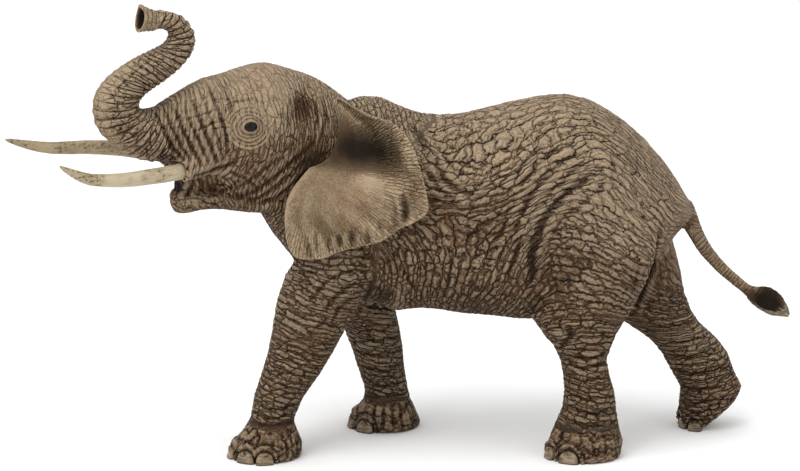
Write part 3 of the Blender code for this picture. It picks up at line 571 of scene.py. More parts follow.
@dataclass(frozen=True)
class HidePattern:
    """Wrinkled hide: long rows of lines, a net of cells between them, and a finer net on the cells.

    Args:
        slope: How far from a line a pad reaches its height, in rows.
        net_scale: Cells of the net to a row.
        fine_scale: Cells of the finer net to a row.
        bends: How many rows the slow, the quick and the fine noise bend the lines by.
        row_width: Least and greatest width of a line between rows, in rows.
        net_width: The same for the net's lines.
        fine_width: Width of the finer net's lines.
        pads: Least and greatest height of a pad.
        fine_pads: The same for the small pads on it.
        level: Height of hide without wrinkles.
    """

    slope: float
    net_scale: float = 0.90
    fine_scale: float = 2.3
    bends: tuple[float, float, float] = (1.3, 0.75, 0.22)
    row_width: tuple[float, float] = (0.026, 0.095)
    net_width: tuple[float, float] = (0.024, 0.070)
    fine_width: float = 0.085
    pads: tuple[float, float] = (0.52, 0.75)
    fine_pads: tuple[float, float] = (0.12, 0.30)
    level: float = 0.6

    def wire(
        self, wires: Wiring, flow: object, place: object, calm: object
    ) -> dict[str, bpy.types.NodeSocket]:
        """Wires the pattern into a tree.

        Args:
            wires: The tree.
            flow: Rows, cells and amount at each point of the hide.
            place: The point's place in metres.
            calm: In its first number, how straight the rows run, from 0 to 1.

        Returns:
            Sockets named crack, pillow and tone.
        """
        rows, along, amount = wires.split(flow)
        straight = wires.split(calm)[0]
        slow = wires.noise(place, 90.0, 1.0)
        quick = wires.noise(wires.vector("ADD", place, (3.1, 1.7, 0.4)), 420.0, 2.0)
        fine = wires.noise(wires.vector("ADD", place, (0.3, 5.1, 2.2)), 1500.0, 2.0)
        strength = wires.noise(wires.vector("ADD", place, (7.7, 2.3, 9.1)), 210.0, 2.0, 0.6)

        bend = wires.math("MULTIPLY_ADD", quick, self.bends[1], wires.math("MULTIPLY", fine, self.bends[2]))
        bend = wires.math("MULTIPLY_ADD", slow, self.bends[0], bend)
        bend = wires.math("MULTIPLY", bend, wires.math("MULTIPLY_ADD", straight, -0.88, 1.0))
        across = wires.math("ADD", rows, bend)
        sway = wires.math("MULTIPLY_ADD", strength, 2.2, wires.math("MULTIPLY", fine, 0.5))
        over = wires.math("ADD", along, sway)
        row_edge, row_own = wires.cells(across, wires.math("MULTIPLY_ADD", straight, -0.55, 0.8))
        net_edge, net_own = wires.net(across, over, self.net_scale, 1.0)
        fine_edge, fine_own = wires.net(across, over, self.fine_scale, 1.0)
        broken = wires.math("MULTIPLY_ADD", straight, -0.65, 1.0)

        row_line = wires.step(row_edge, 0.0, wires.step(strength, 0.35, 0.70, *self.row_width), 1.0, 0.0)
        kept = wires.math("MAXIMUM", straight, wires.step(strength, 0.36, 0.58, 0.22, 1.0))
        row_line = wires.math("MULTIPLY", row_line, kept)
        net_line = wires.step(net_edge, 0.0, wires.step(row_own, 0.0, 1.0, *self.net_width), 1.0, 0.0)
        kept = wires.step(net_own, 0.0, 1.0, 0.25, 1.0)
        net_line = wires.math("MULTIPLY", wires.math("MULTIPLY", net_line, broken), kept)
        fine_line = wires.step(fine_edge, 0.0, self.fine_width, 1.0, 0.0)
        fine_line = wires.math("MULTIPLY", fine_line, wires.step(quick, 0.35, 0.60, 0.12, 0.62))
        line = wires.math("MAXIMUM", wires.math("MAXIMUM", row_line, net_line), fine_line)

        row_away, net_away = wires.math("MULTIPLY", row_edge, 1.1), wires.math("DIVIDE", net_edge, broken)
        nearest = wires.math("MINIMUM", row_away, net_away)
        height = wires.step(net_own, 0.0, 1.0, *self.pads)
        pillow = wires.math("MULTIPLY", wires.step(nearest, 0.0, self.slope), height)
        height = wires.step(fine_own, 0.0, 1.0, *self.fine_pads)
        pillow = wires.math("MULTIPLY_ADD", wires.step(fine_edge, 0.0, self.slope), height, pillow)
        pillow = wires.math("MULTIPLY_ADD", wires.math("SUBTRACT", pillow, self.level), amount, self.level)
        return {"crack": wires.math("MULTIPLY", line, amount), "pillow": pillow, "tone": net_own}


HEAD_NODES = ("head", "trunk")
LEG_NODES = ("left_foreleg", "right_foreleg", "left_hind_leg", "right_hind_leg")
HIDE_NODES = ("torso", *HEAD_NODES, *LEG_NODES, "tail")
NODE_NUMBERS = {name: k for k, name in enumerate((*HEAD_NODES, "torso", *LEG_NODES, "tail"))}
LEG_SIDES = {"left_foreleg": 1, "left_hind_leg": 1, "right_foreleg": -1, "right_hind_leg": -1}


def node_tree(name: str) -> BVHTree:
    """A CAD node's surface, to measure distances from."""
    points, triangles = node_arrays(name, 0.0)
    return BVHTree.FromPolygons(points.tolist(), triangles.tolist())


def distances(tree: BVHTree, points: Array, far: float) -> Array:
    """How far points are from a surface.

    Args:
        tree: The surface.
        points: The points.
        far: The distance given for all that is further off.

    Returns:
        One distance for each point.
    """
    result = np.full(len(points), far)
    find = tree.find_nearest
    for k, point in enumerate(points.tolist()):
        hit = find(point, far)
        if hit[3] is not None:
            result[k] = hit[3]
    return result


@dataclass(frozen=True)
class Wrinkles:
    """One line that the wrinkles run along, as seen in the picture.

    Args:
        pixels: The line.
        row: Millimetres between its rows.
        cell: Millimetres between the lines across the rows.
        amount: Strength of the wrinkles.
        half: The part of the figure it lies on.
        course: Whether the line keeps its way on the other side of the middle plane.
    """

    pixels: Pixels
    row: float = 1.9
    cell: float = 2.6
    amount: float = 1.0
    half: Half = Half.BODY
    course: Course = Course.ALONG


@dataclass(frozen=True)
class Fold:
    """One fold or swelling pressed into the hide, as seen in the picture.

    Args:
        pixels: Its line.
        depth: Millimetres it goes in, or out where negative.
        width: Millimetres from its middle to its side.
        half: The part of the figure it lies on.
        mirrored: Whether the other side has one too.
    """

    pixels: Pixels
    depth: float = 0.4
    width: float = 0.8
    half: Half = Half.BODY
    mirrored: bool = True


class Sculptor:
    """Puts picture lines on the figure's surface and presses folds into it.

    Args:
        picture: The picture that the lines were read from.
        shell: A coarse skin of the whole figure.
    """

    def __init__(self, picture: Picture, shell: Shell) -> None:
        """Makes the skin ready to have rays cast at it."""
        self.picture = picture
        self.tree = shell.tree()

    def trace(self, pixels: Pixels, gap: float = 2.0) -> Array:
        """A picture line laid on the surface.

        Args:
            pixels: The line's corners.
            gap: Pixels between the places found.

        Returns:
            The places, those that miss the figure left out.
        """
        places = []
        for (x0, y0), (x1, y1) in zip(pixels[:-1], pixels[1:]):
            count = max(1, int(math.hypot(x1 - x0, y1 - y0) / gap))
            places += [(x0 + (x1 - x0) * k / count, y0 + (y1 - y0) * k / count) for k in range(count)]
        places.append(tuple(pixels[-1]))
        eye = Vector(self.picture.eye())
        hits = [self.tree.ray_cast(eye, Vector(self.picture.ray(x, y)))[0] for x, y in places]
        return np.array([hit for hit in hits if hit is not None]).reshape(-1, 3)

    def on_surface(self, points: Array) -> Array:
        """The nearest places on the surface."""
        return np.array([self.tree.find_nearest(point)[0] for point in points.tolist()])

    def press(self, shell: Shell, folds: Sequence[Fold]) -> tuple[Array, Array]:
        """Works out how far folds move a skin's corners.

        Args:
            shell: The skin.
            folds: The folds.

        Returns:
            Metres inwards at each corner, and the same for narrow folds alone.
        """
        moved, narrow = np.zeros(len(shell.points)), np.zeros(len(shell.points))
        for fold in folds:
            line = self.trace(fold.pixels)
            if len(line) < 2:
                continue
            lines = [line]
            if fold.mirrored:
                middle = HEAD_MIDDLE if fold.half is Half.HEAD else BODY_MIDDLE
                lines.append(self.on_surface(middle.mirror(line)))
            for each in lines:
                self.press_line(shell.points, moved if fold.width > 1.2 else narrow, each, fold)
        return moved + narrow, narrow

    def press_line(self, points: Array, moved: Array, line: Array, fold: Fold) -> None:
        """Adds one fold to what is moved.

        Args:
            points: The skin's corners.
            moved: Metres inwards, which this adds to.
            line: The fold's places.
            fold: Its size.
        """
        width = fold.width * MM
        low, high = line.min(0) - 3 * width, line.max(0) + 3 * width
        near = np.flatnonzero(((points > low) & (points < high)).all(1))
        best = np.full(len(near), 1.0)
        share = np.zeros(len(near))
        steps = np.concatenate([[0.0], np.cumsum(np.linalg.norm(np.diff(line, axis=0), axis=1))])
        for k in range(len(line) - 1):
            start, along = line[k], line[k + 1] - line[k]
            length = max(np.dot(along, along), 1e-14)
            part = np.clip((points[near] - start) @ along / length, 0.0, 1.0)
            gap = np.linalg.norm(points[near] - start - part[:, None] * along, axis=1)
            closer = gap < best
            best[closer] = gap[closer]
            share[closer] = (steps[k] + part[closer] * math.sqrt(length)) / max(steps[-1], 1e-9)
        taper = np.clip(4.0 * share * (1.0 - share), 0.0, 1.0) ** 0.7
        groove = np.exp(-((best / width) ** 2)) - 0.28 * np.exp(-(((best - 1.9 * width) / width) ** 2))
        moved[near] += fold.depth * MM * groove * (0.05 + 0.95 * taper) * (best < 3 * width)


@dataclass
class Grain:
    """The rows and cells of the hide's wrinkles, spread over the whole skin.

    Args:
        voxel: Size of the quads that it is worked out on.
        reach: Metres over which neighbouring lines are mixed.
        rounds: Most steps taken to even out the rows.
        crowding: How much closer the lines lie than their sizes say.
        at_cuts: Share of the wrinkles' amount that is left where rows end.
        at_rears: The same behind the legs and at the ankles.
        on_strip: Share of it that is taken off the trunk's smooth strip.
        turning: Square metres that a surface facing the other way counts as further off.
        knees: Metres up to which rows run round the forelegs and the hind legs.
        trunk: Millimetres between rows and between cells, and amount, on the trunk.
        near_leg: The same on the left legs.
        far_leg: The same on the right legs.
        foot: The same on the feet.
        tail: The same on the tail.
    """

    voxel: float = 0.0011
    reach: float = 0.0045
    rounds: int = 500
    crowding: float = 1.28
    at_cuts: float = 0.5
    at_rears: float = 0.62
    on_strip: float = 0.5
    turning: float = 0.0001
    knees: tuple[float, float] = (0.030, 0.026)
    trunk: tuple[float, float, float] = (1.9, 3.8, 1.2)
    near_leg: tuple[float, float, float] = (2.1, 2.6, 1.0)
    far_leg: tuple[float, float, float] = (1.9, 2.6, 1.15)
    foot: tuple[float, float, float] = (1.2, 4.2, 1.0)
    tail: tuple[float, float, float] = (1.2, 2.2, 0.5)

    def solve(self, sculptor: Sculptor, shell: Shell, labels: Array, wrinkles: Sequence[Wrinkles]) -> Array:
        """Works out rows, cells and amount at the corners of a coarse skin.

        Args:
            sculptor: What lays lines on the skin.
            shell: The coarse skin.
            labels: The number of each corner's CAD node.
            wrinkles: The lines that the wrinkles run along.

        Returns:
            Rows, cells, amount and straightness for each corner.
        """
        normals = shell.normals()
        heads = labels < len(HEAD_NODES)
        way = np.zeros_like(shell.points)
        scale = np.zeros((len(shell.points), 3))
        for half, chosen in ((Half.HEAD, heads), (Half.BODY, ~heads)):
            known = self.gather(sculptor, shell, normals, labels, wrinkles, half)
            way[chosen], scale[chosen] = self.mix(shell.points[chosen], normals[chosen], *known)
        across = np.cross(normals, way)
        (cut, rears), ankles = self.cuts(shell, labels), self.ankles(shell, labels)
        cut |= ankles
        rows = self.integrate(shell, across / scale[:, :1], cut) * self.crowding
        cells = self.integrate(shell, way / scale[:, 1:2], cut | rears) * self.crowding
        amount = scale[:, 2].copy()
        amount[shell.edges[cut & ~ankles].ravel()] *= self.at_cuts
        amount[shell.edges[rears | ankles].ravel()] *= self.at_rears
        amount *= 1.0 - self.on_strip * TrunkLine().strip(shell.points) * (labels == NODE_NUMBERS["trunk"])
        straight = np.zeros((len(shell.points), 3))
        for name, value in STRAIGHT.items():
            straight[labels == NODE_NUMBERS[name]] = value
        return np.column_stack([rows, cells, amount, shell.blur(straight, 5)[:, 0]])

    def gather(
        self,
        sculptor: Sculptor,
        shell: Shell,
        normals: Array,
        labels: Array,
        wrinkles: Sequence[Wrinkles],
        half: Half,
    ) -> tuple[Array, ...]:
        """The directions known on one part of the figure.

        Args:
            sculptor: What lays lines on the skin.
            shell: The coarse skin.
            normals: Its normals.
            labels: The number of each corner's CAD node.
            wrinkles: The lines that the wrinkles run along.
            half: The part of the figure.

        Returns:
            Places, directions, the sizes of rows and cells, and the surface's normals there.
        """
        middle = HEAD_MIDDLE if half is Half.HEAD else BODY_MIDDLE
        places, ways, sizes = [], [], []
        for line in wrinkles:
            if line.half is not half:
                continue
            traced = sculptor.trace(line.pixels, 6.0)
            if len(traced) < 2:
                continue
            spots, steps = (traced[:-1] + traced[1:]) / 2, unit(np.diff(traced, axis=0))
            sign = 1.0 if line.course is Course.ALONG else -1.0
            places += [spots, sculptor.on_surface(middle.mirror(spots))]
            ways += [steps, sign * middle.mirror_way(steps)]
            sizes.append(np.tile([line.row * MM, line.cell * MM, line.amount], (2 * len(spots), 1)))
        for spot, way, size in self.rings(shell, normals, labels, half):
            places.append(spot)
            ways.append(way)
            sizes.append(size)
        spots = np.concatenate(places)
        facing = np.array([sculptor.tree.find_nearest(spot)[1] for spot in spots.tolist()])
        return spots, np.concatenate(ways), np.concatenate(sizes), facing

    def rings(self, shell: Shell, normals: Array, labels: Array, half: Half) -> list[tuple[Array, ...]]:
        """Directions round the legs, the tail and the trunk.

        Args:
            shell: The coarse skin.
            normals: Its normals.
            labels: The number of each corner's CAD node.
            half: The part of the figure.

        Returns:
            Places, directions and sizes.
        """
        found = []

        def add(
            name: str, wanted: Array, axis: Array, upright: bool, sizes: tuple[float, float, float]
        ) -> None:
            """Adds rings round an axis, or lines along it, on the wanted corners of a node."""
            chosen = np.flatnonzero((labels == NODE_NUMBERS[name]) & wanted)[::3]
            facing = normals[chosen]
            ways = unit(np.cross(axis if axis.ndim == 1 else axis[chosen], facing))
            if upright:
                ways = np.cross(facing, ways)
            row, cell, amount = sizes
            each = np.tile([row * MM, cell * MM, amount], (len(chosen), 1))
            found.append((shell.points[chosen], ways, each))

        high, everywhere = shell.points[:, 2], np.ones(len(labels), bool)
        if half is Half.HEAD:
            add("trunk", everywhere, TrunkLine().ways(shell.points), False, self.trunk)
            return found
        for name, side in LEG_SIDES.items():
            foot = ANKLES[name] * MM
            knee = self.knees[0 if "fore" in name else 1]
            tilt = math.radians(LEG_TILTS[name])
            axis = np.array([math.sin(tilt), 0.0, math.cos(tilt)]) * side
            sizes = self.near_leg if side > 0 else self.far_leg
            add(name, (high < knee) & (high > foot + 0.0015), axis, False, sizes)
            add(name, high < foot - 0.001, np.array([0.0, 0.0, side]), True, self.foot)
        add("tail", everywhere, np.array([-0.72, 0.0, 0.69]), False, self.tail)
        return found

    def mix(
        self, points: Array, normals: Array, places: Array, ways: Array, sizes: Array, facing: Array
    ) -> tuple[Array, Array]:
        """Directions between the ones that are known.

        Args:
            points: Places to find directions for.
            normals: The surface's normals there.
            places: Places where the direction is known.
            ways: Directions there.
            sizes: Rows and cells there.
            facing: The surface's normals there.

        Returns:
            Directions in the surface, and sizes.
        """
        result, scale = np.empty_like(points), np.empty((len(points), 3))
        logs = np.log(sizes)
        batch = 2000
        for start in range(0, len(points), batch):
            part = slice(start, start + batch)
            gap = ((points[part, None, :] - places[None]) ** 2).sum(2)
            gap = gap + self.turning * (1.0 - normals[part] @ facing.T)
            nearest = gap.min(1, keepdims=True)
            weight = np.exp(-(gap - nearest) / (2 * self.reach**2 + 0.15 * nearest)) / (gap + 4e-6)
            total = weight @ ways
            total -= (total * normals[part]).sum(1, keepdims=True) * normals[part]
            result[part] = unit(total)
            scale[part] = np.exp(weight @ logs / weight.sum(1, keepdims=True))
        return result, scale

    def cuts(self, shell: Shell, labels: Array) -> tuple[Array, Array]:
        """Where rows don't run on: the neck's seam, belly, rump, throat, armpits and the trunk's underside.

        Args:
            shell: The coarse skin.
            labels: The number of each corner's CAD node.

        Returns:
            True for each edge that is cut, and for those over which only the rows run on.
        """
        points, (first, second) = shell.points, shell.edges.T
        rears = np.zeros(len(first), bool)
        heads = labels < len(HEAD_NODES)
        cut = heads[first] != heads[second]
        body, head = BODY_MIDDLE.side(points), HEAD_MIDDLE.side(points)
        low = (points[:, 2] < BELLY_TOP) | (points[:, 0] > RUMP_FRONT)
        torso = labels == NODE_NUMBERS["torso"]
        cut |= (body[first] * body[second] < 0) & (torso & low)[first] & (torso & low)[second]
        forward = (points - np.array(HEAD_MIDDLE.point)) @ np.array(HEAD_MIDDLE.forward)
        throat = heads & (points[:, 2] < THROAT_TOP) & (forward < THROAT_FRONT)
        cut |= (head[first] * head[second] < 0) & throat[first] & throat[second]
        for name in LEG_SIDES:
            own = labels == NODE_NUMBERS[name]
            if not own.any():
                continue
            centre = points[own].mean(0)
            slope = np.polyfit(points[own, 2], points[own, 0], 2)
            rear = own & (points[:, 0] > np.polyval(slope, points[:, 2]))
            across = points[:, 1] - centre[1]
            rears |= (across[first] * across[second] < 0) & rear[first] & rear[second]
        left = np.where((body > 0)[:, None], points, BODY_MIDDLE.mirror(points))
        seen = Picture().project(left)
        for start, end in zip(ARMPIT_CUT[:-1], ARMPIT_CUT[1:]):
            along = np.array(end) - np.array(start)
            over = np.array([-along[1], along[0]])
            place = (seen - np.array(start)) @ over
            share = (seen - np.array(start)) @ along / (along @ along)
            within = (np.abs(share - 0.5) < 0.55) & ~heads & (np.abs(body) > CHEST_HALF)
            cut |= (place[first] * place[second] < 0) & within[first] & within[second]
        trunk = labels == NODE_NUMBERS["trunk"]
        under = TrunkLine().under(points) > 0
        cut |= (head[first] * head[second] < 0) & (trunk & under)[first] & (trunk & under)[second]
        return cut, rears

    @staticmethod
    def ankles(shell: Shell, labels: Array) -> Array:
        """True for each edge that crosses an ankle, where rows round the leg meet lines down the foot."""
        first, second = shell.edges.T
        found = np.zeros(len(first), bool)
        for name, ankle in ANKLES.items():
            own, above = labels == NODE_NUMBERS[name], shell.points[:, 2] - ankle * MM
            found |= (above[first] * above[second] < 0) & own[first] & own[second]
        return found

    def integrate(self, shell: Shell, slope: Array, cut: Array) -> Array:
        """The numbers whose slope over the skin is nearest to the one given.

        Args:
            shell: The coarse skin.
            slope: The wanted slope at each corner.
            cut: Edges left out.

        Returns:
            One number for each corner.
        """
        first, second = shell.edges[~cut].T
        step = shell.points[second] - shell.points[first]
        wanted = ((slope[first] + slope[second]) * 0.5 * step).sum(1)
        count = len(shell.points)

        def apply(values: Array) -> Array:
            """The sum of each corner's differences from its neighbours."""
            gap = values[second] - values[first]
            return np.bincount(second, gap, count) - np.bincount(first, gap, count)

        value = np.zeros(count)
        rest = np.bincount(second, wanted, count) - np.bincount(first, wanted, count)
        way, power = rest.copy(), float(rest @ rest)
        for _ in range(self.rounds):
            moved = apply(way)
            size = power / max(float(way @ moved), 1e-30)
            value += size * way
            rest -= size * moved
            fresh = float(rest @ rest)
            if fresh < 1e-8 * count:
                break
            way, power = rest + fresh / power * way, fresh
        return value


@dataclass(frozen=True)
class TrunkLine:
    """The trunk's middle line, from its tip down to the snout.

    Args:
        pixels: The line in the picture; it lies in the head's middle plane.
        smooth: Metres from the tip where the smooth strip under the bend starts, is whole, wanes and ends.
    """

    pixels: Pixels = (
        (138, 18), (150, 20), (164, 22), (174, 27), (181, 35), (181, 43), (170, 55.5), (153, 66),
        (139, 75.5), (124, 86), (117, 98), (117, 112), (124, 126), (140, 136), (158, 136), (176, 130),
    )
    smooth: tuple[float, float, float, float] = (0.026, 0.032, 0.050, 0.056)

    def places(self) -> Array:
        """The line in space."""
        picture, point, outward = Picture(), np.array(HEAD_MIDDLE.point), np.array(HEAD_MIDDLE.outward)
        return np.array([picture.on_plane(x, y, point, outward) for x, y in self.pixels])

    def nearest(self, points: Array) -> tuple[Array, Array, Array]:
        """The line's nearest places to points.

        Args:
            points: The points.

        Returns:
            The places, the line's directions there, and metres along the line.
        """
        line = self.places()
        steps = np.diff(line, axis=0)
        lengths = np.linalg.norm(steps, axis=1)
        best = np.full(len(points), 1.0)
        place, way, along = np.zeros_like(points), np.zeros_like(points), np.zeros(len(points))
        for k, step in enumerate(steps):
            share = np.clip((points - line[k]) @ step / lengths[k] ** 2, 0.0, 1.0)
            spot = line[k] + share[:, None] * step
            gap = np.linalg.norm(points - spot, axis=1)
            closer = gap < best
            best[closer], place[closer] = gap[closer], spot[closer]
            way[closer] = step / lengths[k]
            along[closer] = lengths[:k].sum() + share[closer] * lengths[k]
        return place, way, along

    def ways(self, points: Array) -> Array:
        """The line's directions nearest to points, evened out."""
        line = self.places()
        middles = (line[1:] + line[:-1]) / 2
        gap = ((points[:, None, :] - middles[None]) ** 2).sum(2)
        weight = np.exp(-(gap - gap.min(1, keepdims=True)) / (2 * 0.004**2))
        return unit(weight @ unit(np.diff(line, axis=0)))

    def under(self, points: Array) -> Array:
        """How far points face the trunk's underside, from -1 to 1."""
        place, _, _ = self.nearest(points)
        front = np.cross(self.ways(points), np.array(HEAD_MIDDLE.outward))
        return (unit(points - place) * front).sum(1)

    def strip(self, points: Array) -> Array:
        """The smooth strip along the underside of the trunk's lower bend, from 0 to 1."""
        _, _, along = self.nearest(points)
        start, whole, wane, end = self.smooth
        return ease(0.45, 0.80, self.under(points)) * ease(start, whole, along) * ease(end, wane, along)


# How straight the rows run, how far they lean in degrees, and the ankles' heights in millimetres.
STRAIGHT = {"trunk": 0.9, "tail": 0.7, "left_foreleg": 0.15, "left_hind_leg": 0.15}
LEG_TILTS = {"left_foreleg": 20.0, "left_hind_leg": 14.0, "right_foreleg": 8.0, "right_hind_leg": -14.0}
ANKLES = {"left_foreleg": 9.5, "right_foreleg": 8.5, "left_hind_leg": 9.0, "right_hind_leg": 0.0}

# Metres up, back or out, where the rows' ends start or stop.
BELLY_TOP, RUMP_FRONT, THROAT_TOP, THROAT_FRONT, CHEST_HALF = 0.058, 0.060, 0.078, 0.043, 0.004
ARMPIT_CUT: Pixels = ((380, 235), (376, 265), (371, 289), (353, 328), (350, 345))

BODY_WRINKLES = (
    Wrinkles(((440, 124), (500, 113), (560, 103), (595, 113), (630, 139), (655, 166)), 1.7, 3.0),
    Wrinkles(((445, 142), (500, 132), (556, 122), (590, 128)), 1.8, 3.0),
    Wrinkles(((446, 158), (480, 160), (510, 152), (540, 138)), 1.8, 2.4),
    Wrinkles(((345, 104), (396, 112), (430, 119)), 2.0, 3.4),
    Wrinkles(((400, 130), (420, 150), (432, 170)), 1.8, 2.4),
    Wrinkles(((436, 168), (444, 186), (462, 194), (495, 196), (516, 199)), 2.0, 2.2),
    Wrinkles(((516, 174), (533, 158), (556, 147), (580, 133)), 1.7, 3.2),
    Wrinkles(((500, 228), (518, 196), (550, 172), (590, 150)), 1.6, 4.0),
    Wrinkles(((509, 252), (530, 214), (556, 186), (598, 160)), 1.5, 4.4),
    Wrinkles(((522, 280), (530, 250), (542, 223), (566, 195), (604, 167)), 1.5, 4.6),
    Wrinkles(((505, 285), (512, 262), (520, 240)), 1.7, 3.6),
    Wrinkles(((481, 262), (495, 226), (506, 205)), 2.0, 2.6),
    Wrinkles(((476, 300), (477, 272), (480, 245)), 2.1, 2.6),
    Wrinkles(((448, 300), (448, 256), (443, 226)), 2.1, 2.6),
    Wrinkles(((428, 296), (423, 262), (410, 236)), 1.9, 2.4),
    Wrinkles(((405, 300), (400, 275), (390, 250)), 1.7, 2.4),
    Wrinkles(((556, 252), (600, 238), (644, 222)), 2.1, 2.4),
    Wrinkles(((566, 288), (606, 268), (646, 243)), 2.2, 2.4),
    Wrinkles(((545, 318), (590, 300), (628, 282)), 2.1, 2.4),
    Wrinkles(((572, 222), (610, 205), (650, 192)), 2.0, 2.2),
    Wrinkles(((610, 172), (640, 176), (664, 184)), 1.8, 2.2),
    Wrinkles(((548, 338), (585, 330), (612, 326)), 1.9, 2.2),
    Wrinkles(((296, 270), (330, 276), (368, 272)), 1.9, 2.3),
    Wrinkles(((282, 300), (318, 306), (350, 300)), 1.9, 2.3),
    Wrinkles(((275, 325), (305, 332), (336, 330)), 1.9, 2.3),
)
HEAD_WRINKLES = tuple(
    Wrinkles(pixels, row, cell, amount, Half.HEAD, Course.ACROSS)
    for pixels, row, cell, amount in (
        (((325, 88), (329, 118), (322, 150)), 1.15, 2.8, 0.75),
        (((302, 74), (305, 104), (300, 138)), 1.1, 2.8, 0.70),
        (((258, 66), (274, 80), (282, 98)), 1.2, 2.2, 0.50),
        (((234, 74), (246, 86), (254, 98)), 1.2, 2.2, 0.60),
        (((208, 84), (219, 112), (228, 140)), 1.3, 1.6, 0.60),
        (((186, 98), (196, 124), (208, 150)), 1.3, 1.6, 0.60),
        (((160, 108), (170, 132), (184, 158)), 1.3, 2.0, 0.65),
        (((320, 136), (300, 155), (277, 175), (256, 191), (230, 201)), 1.4, 1.9, 0.80),
        (((296, 134), (284, 152), (262, 174), (240, 188)), 1.4, 1.8, 0.80),
        (((262, 140), (270, 150), (266, 166)), 1.2, 1.9, 0.55),
        (((226, 150), (228, 166), (222, 180)), 1.2, 1.8, 0.60),
        (((184, 198), (205, 191), (230, 181)), 1.4, 1.8, 0.70),
        (((187, 206), (215, 202), (246, 199)), 1.4, 1.8, 0.70),
        (((350, 100), (356, 125), (352, 160)), 1.6, 2.4, 0.95),
        (((385, 108), (392, 140), (390, 185), (380, 225)), 1.9, 2.4, 1.0),
        (((415, 118), (420, 150), (424, 190)), 1.9, 2.4, 1.0),
        (((350, 180), (345, 210), (335, 240)), 1.8, 2.2, 0.9),
    )
)


def paint(red: float, green: float, blue: float) -> tuple[float, float, float, float]:
    """A paint's colour, from its values on a screen, 0 to 255."""
    shares = [value / 255.0 for value in (red, green, blue)]
    return (*[s / 12.92 if s <= 0.04045 else ((s + 0.055) / 1.055) ** 2.4 for s in shares], 1.0)


def give(mesh: bpy.types.Mesh, name: str, values: Array) -> None:
    """Stores three numbers at each corner of a mesh, under a name."""
    layer = mesh.attributes.new(name, "FLOAT_VECTOR", "POINT")
    layer.data.foreach_set("vector", np.ascontiguousarray(values, np.float32).ravel())


def dress(
    name: str, points: Array, faces: Array, values: dict[str, Array], material: bpy.types.Material
) -> bpy.types.Object:
    """A finished piece from arrays, with what its corners carry and its paint.

    Args:
        name: The piece's name.
        points: Its corners.
        faces: Corner numbers, one row for each face.
        values: Three numbers for each corner, by name.
        material: The paint.

    Returns:
        The piece.
    """
    mesh = make_mesh(name, points, faces)
    for key, value in values.items():
        give(mesh, key, value)
    mesh.materials.append(material)
    return add_object(name, mesh)


def group_tree(
    name: str, kind: str, inputs: dict[str, str], outputs: dict[str, str]
) -> tuple[Wiring, dict[str, bpy.types.NodeSocket], dict[str, bpy.types.NodeSocket]]:
    """A new node group with named sockets.

    Args:
        name: The group's name.
        kind: The type of tree.
        inputs: Socket types by name.
        outputs: Socket types by name.

    Returns:
        The tree's wiring, its incoming sockets, and its outgoing ones.
    """
    tree = bpy.data.node_groups.new(name, kind)
    for way, sockets in (("INPUT", inputs), ("OUTPUT", outputs)):
        for socket, socket_type in sockets.items():
            tree.interface.new_socket(name=socket, in_out=way, socket_type=socket_type)
    start, end = tree.nodes.new("NodeGroupInput"), tree.nodes.new("NodeGroupOutput")
    given = {socket.name: socket for socket in start.outputs if socket.name}
    wanted = {socket.name: socket for socket in end.inputs if socket.name}
    return Wiring(tree), given, wanted


FLOAT, VECTOR, COLOR = "NodeSocketFloat", "NodeSocketVector", "NodeSocketColor"
GEOMETRY, MATERIAL = "NodeSocketGeometry", "NodeSocketMaterial"


def new_paint(name: str) -> tuple[bpy.types.Material, Wiring, bpy.types.Node, bpy.types.NodeSocket]:
    """A new material, with its wiring, its shader and the place that is painted."""
    material = bpy.data.materials.new(name)
    material.use_nodes = True
    wires = Wiring(material.node_tree)
    shader = material.node_tree.nodes["Principled BSDF"]
    return material, wires, shader, wires.node("ShaderNodeTexCoord").outputs["Object"]


def add_bump(wires: Wiring, shader: bpy.types.Node, height: object, deep: float) -> None:
    """Gives a shader small relief.

    Args:
        wires: The material's wiring.
        shader: The shader.
        height: The relief's height, from 0 to 1.
        deep: Millimetres between its lowest and highest.
    """
    bump = wires.node("ShaderNodeBump")
    bump.inputs["Distance"].default_value = deep * MM
    wires.feed(bump.inputs["Height"], height)
    wires.feed(shader.inputs["Normal"], bump.outputs["Normal"])


def hide_group() -> bpy.types.NodeTree:
    """The shader group that draws the lines and pads of wrinkled hide."""
    known = bpy.data.node_groups.get("wrinkled_hide")
    if known:
        return known
    outputs = {"Crack": FLOAT, "Pillow": FLOAT, "Tone": FLOAT, "Grit": FLOAT}
    inputs = {"Flow": VECTOR, "Place": VECTOR, "Calm": VECTOR}
    wires, given, wanted = group_tree("wrinkled_hide", "ShaderNodeTree", inputs, outputs)
    found = HidePattern(0.18).wire(wires, given["Flow"], given["Place"], given["Calm"])
    for name, socket in found.items():
        wires.feed(wanted[name.title()], socket)
    wires.feed(wanted["Grit"], wires.noise(given["Place"], 2600.0, 3.0, 0.6))
    return wires.tree


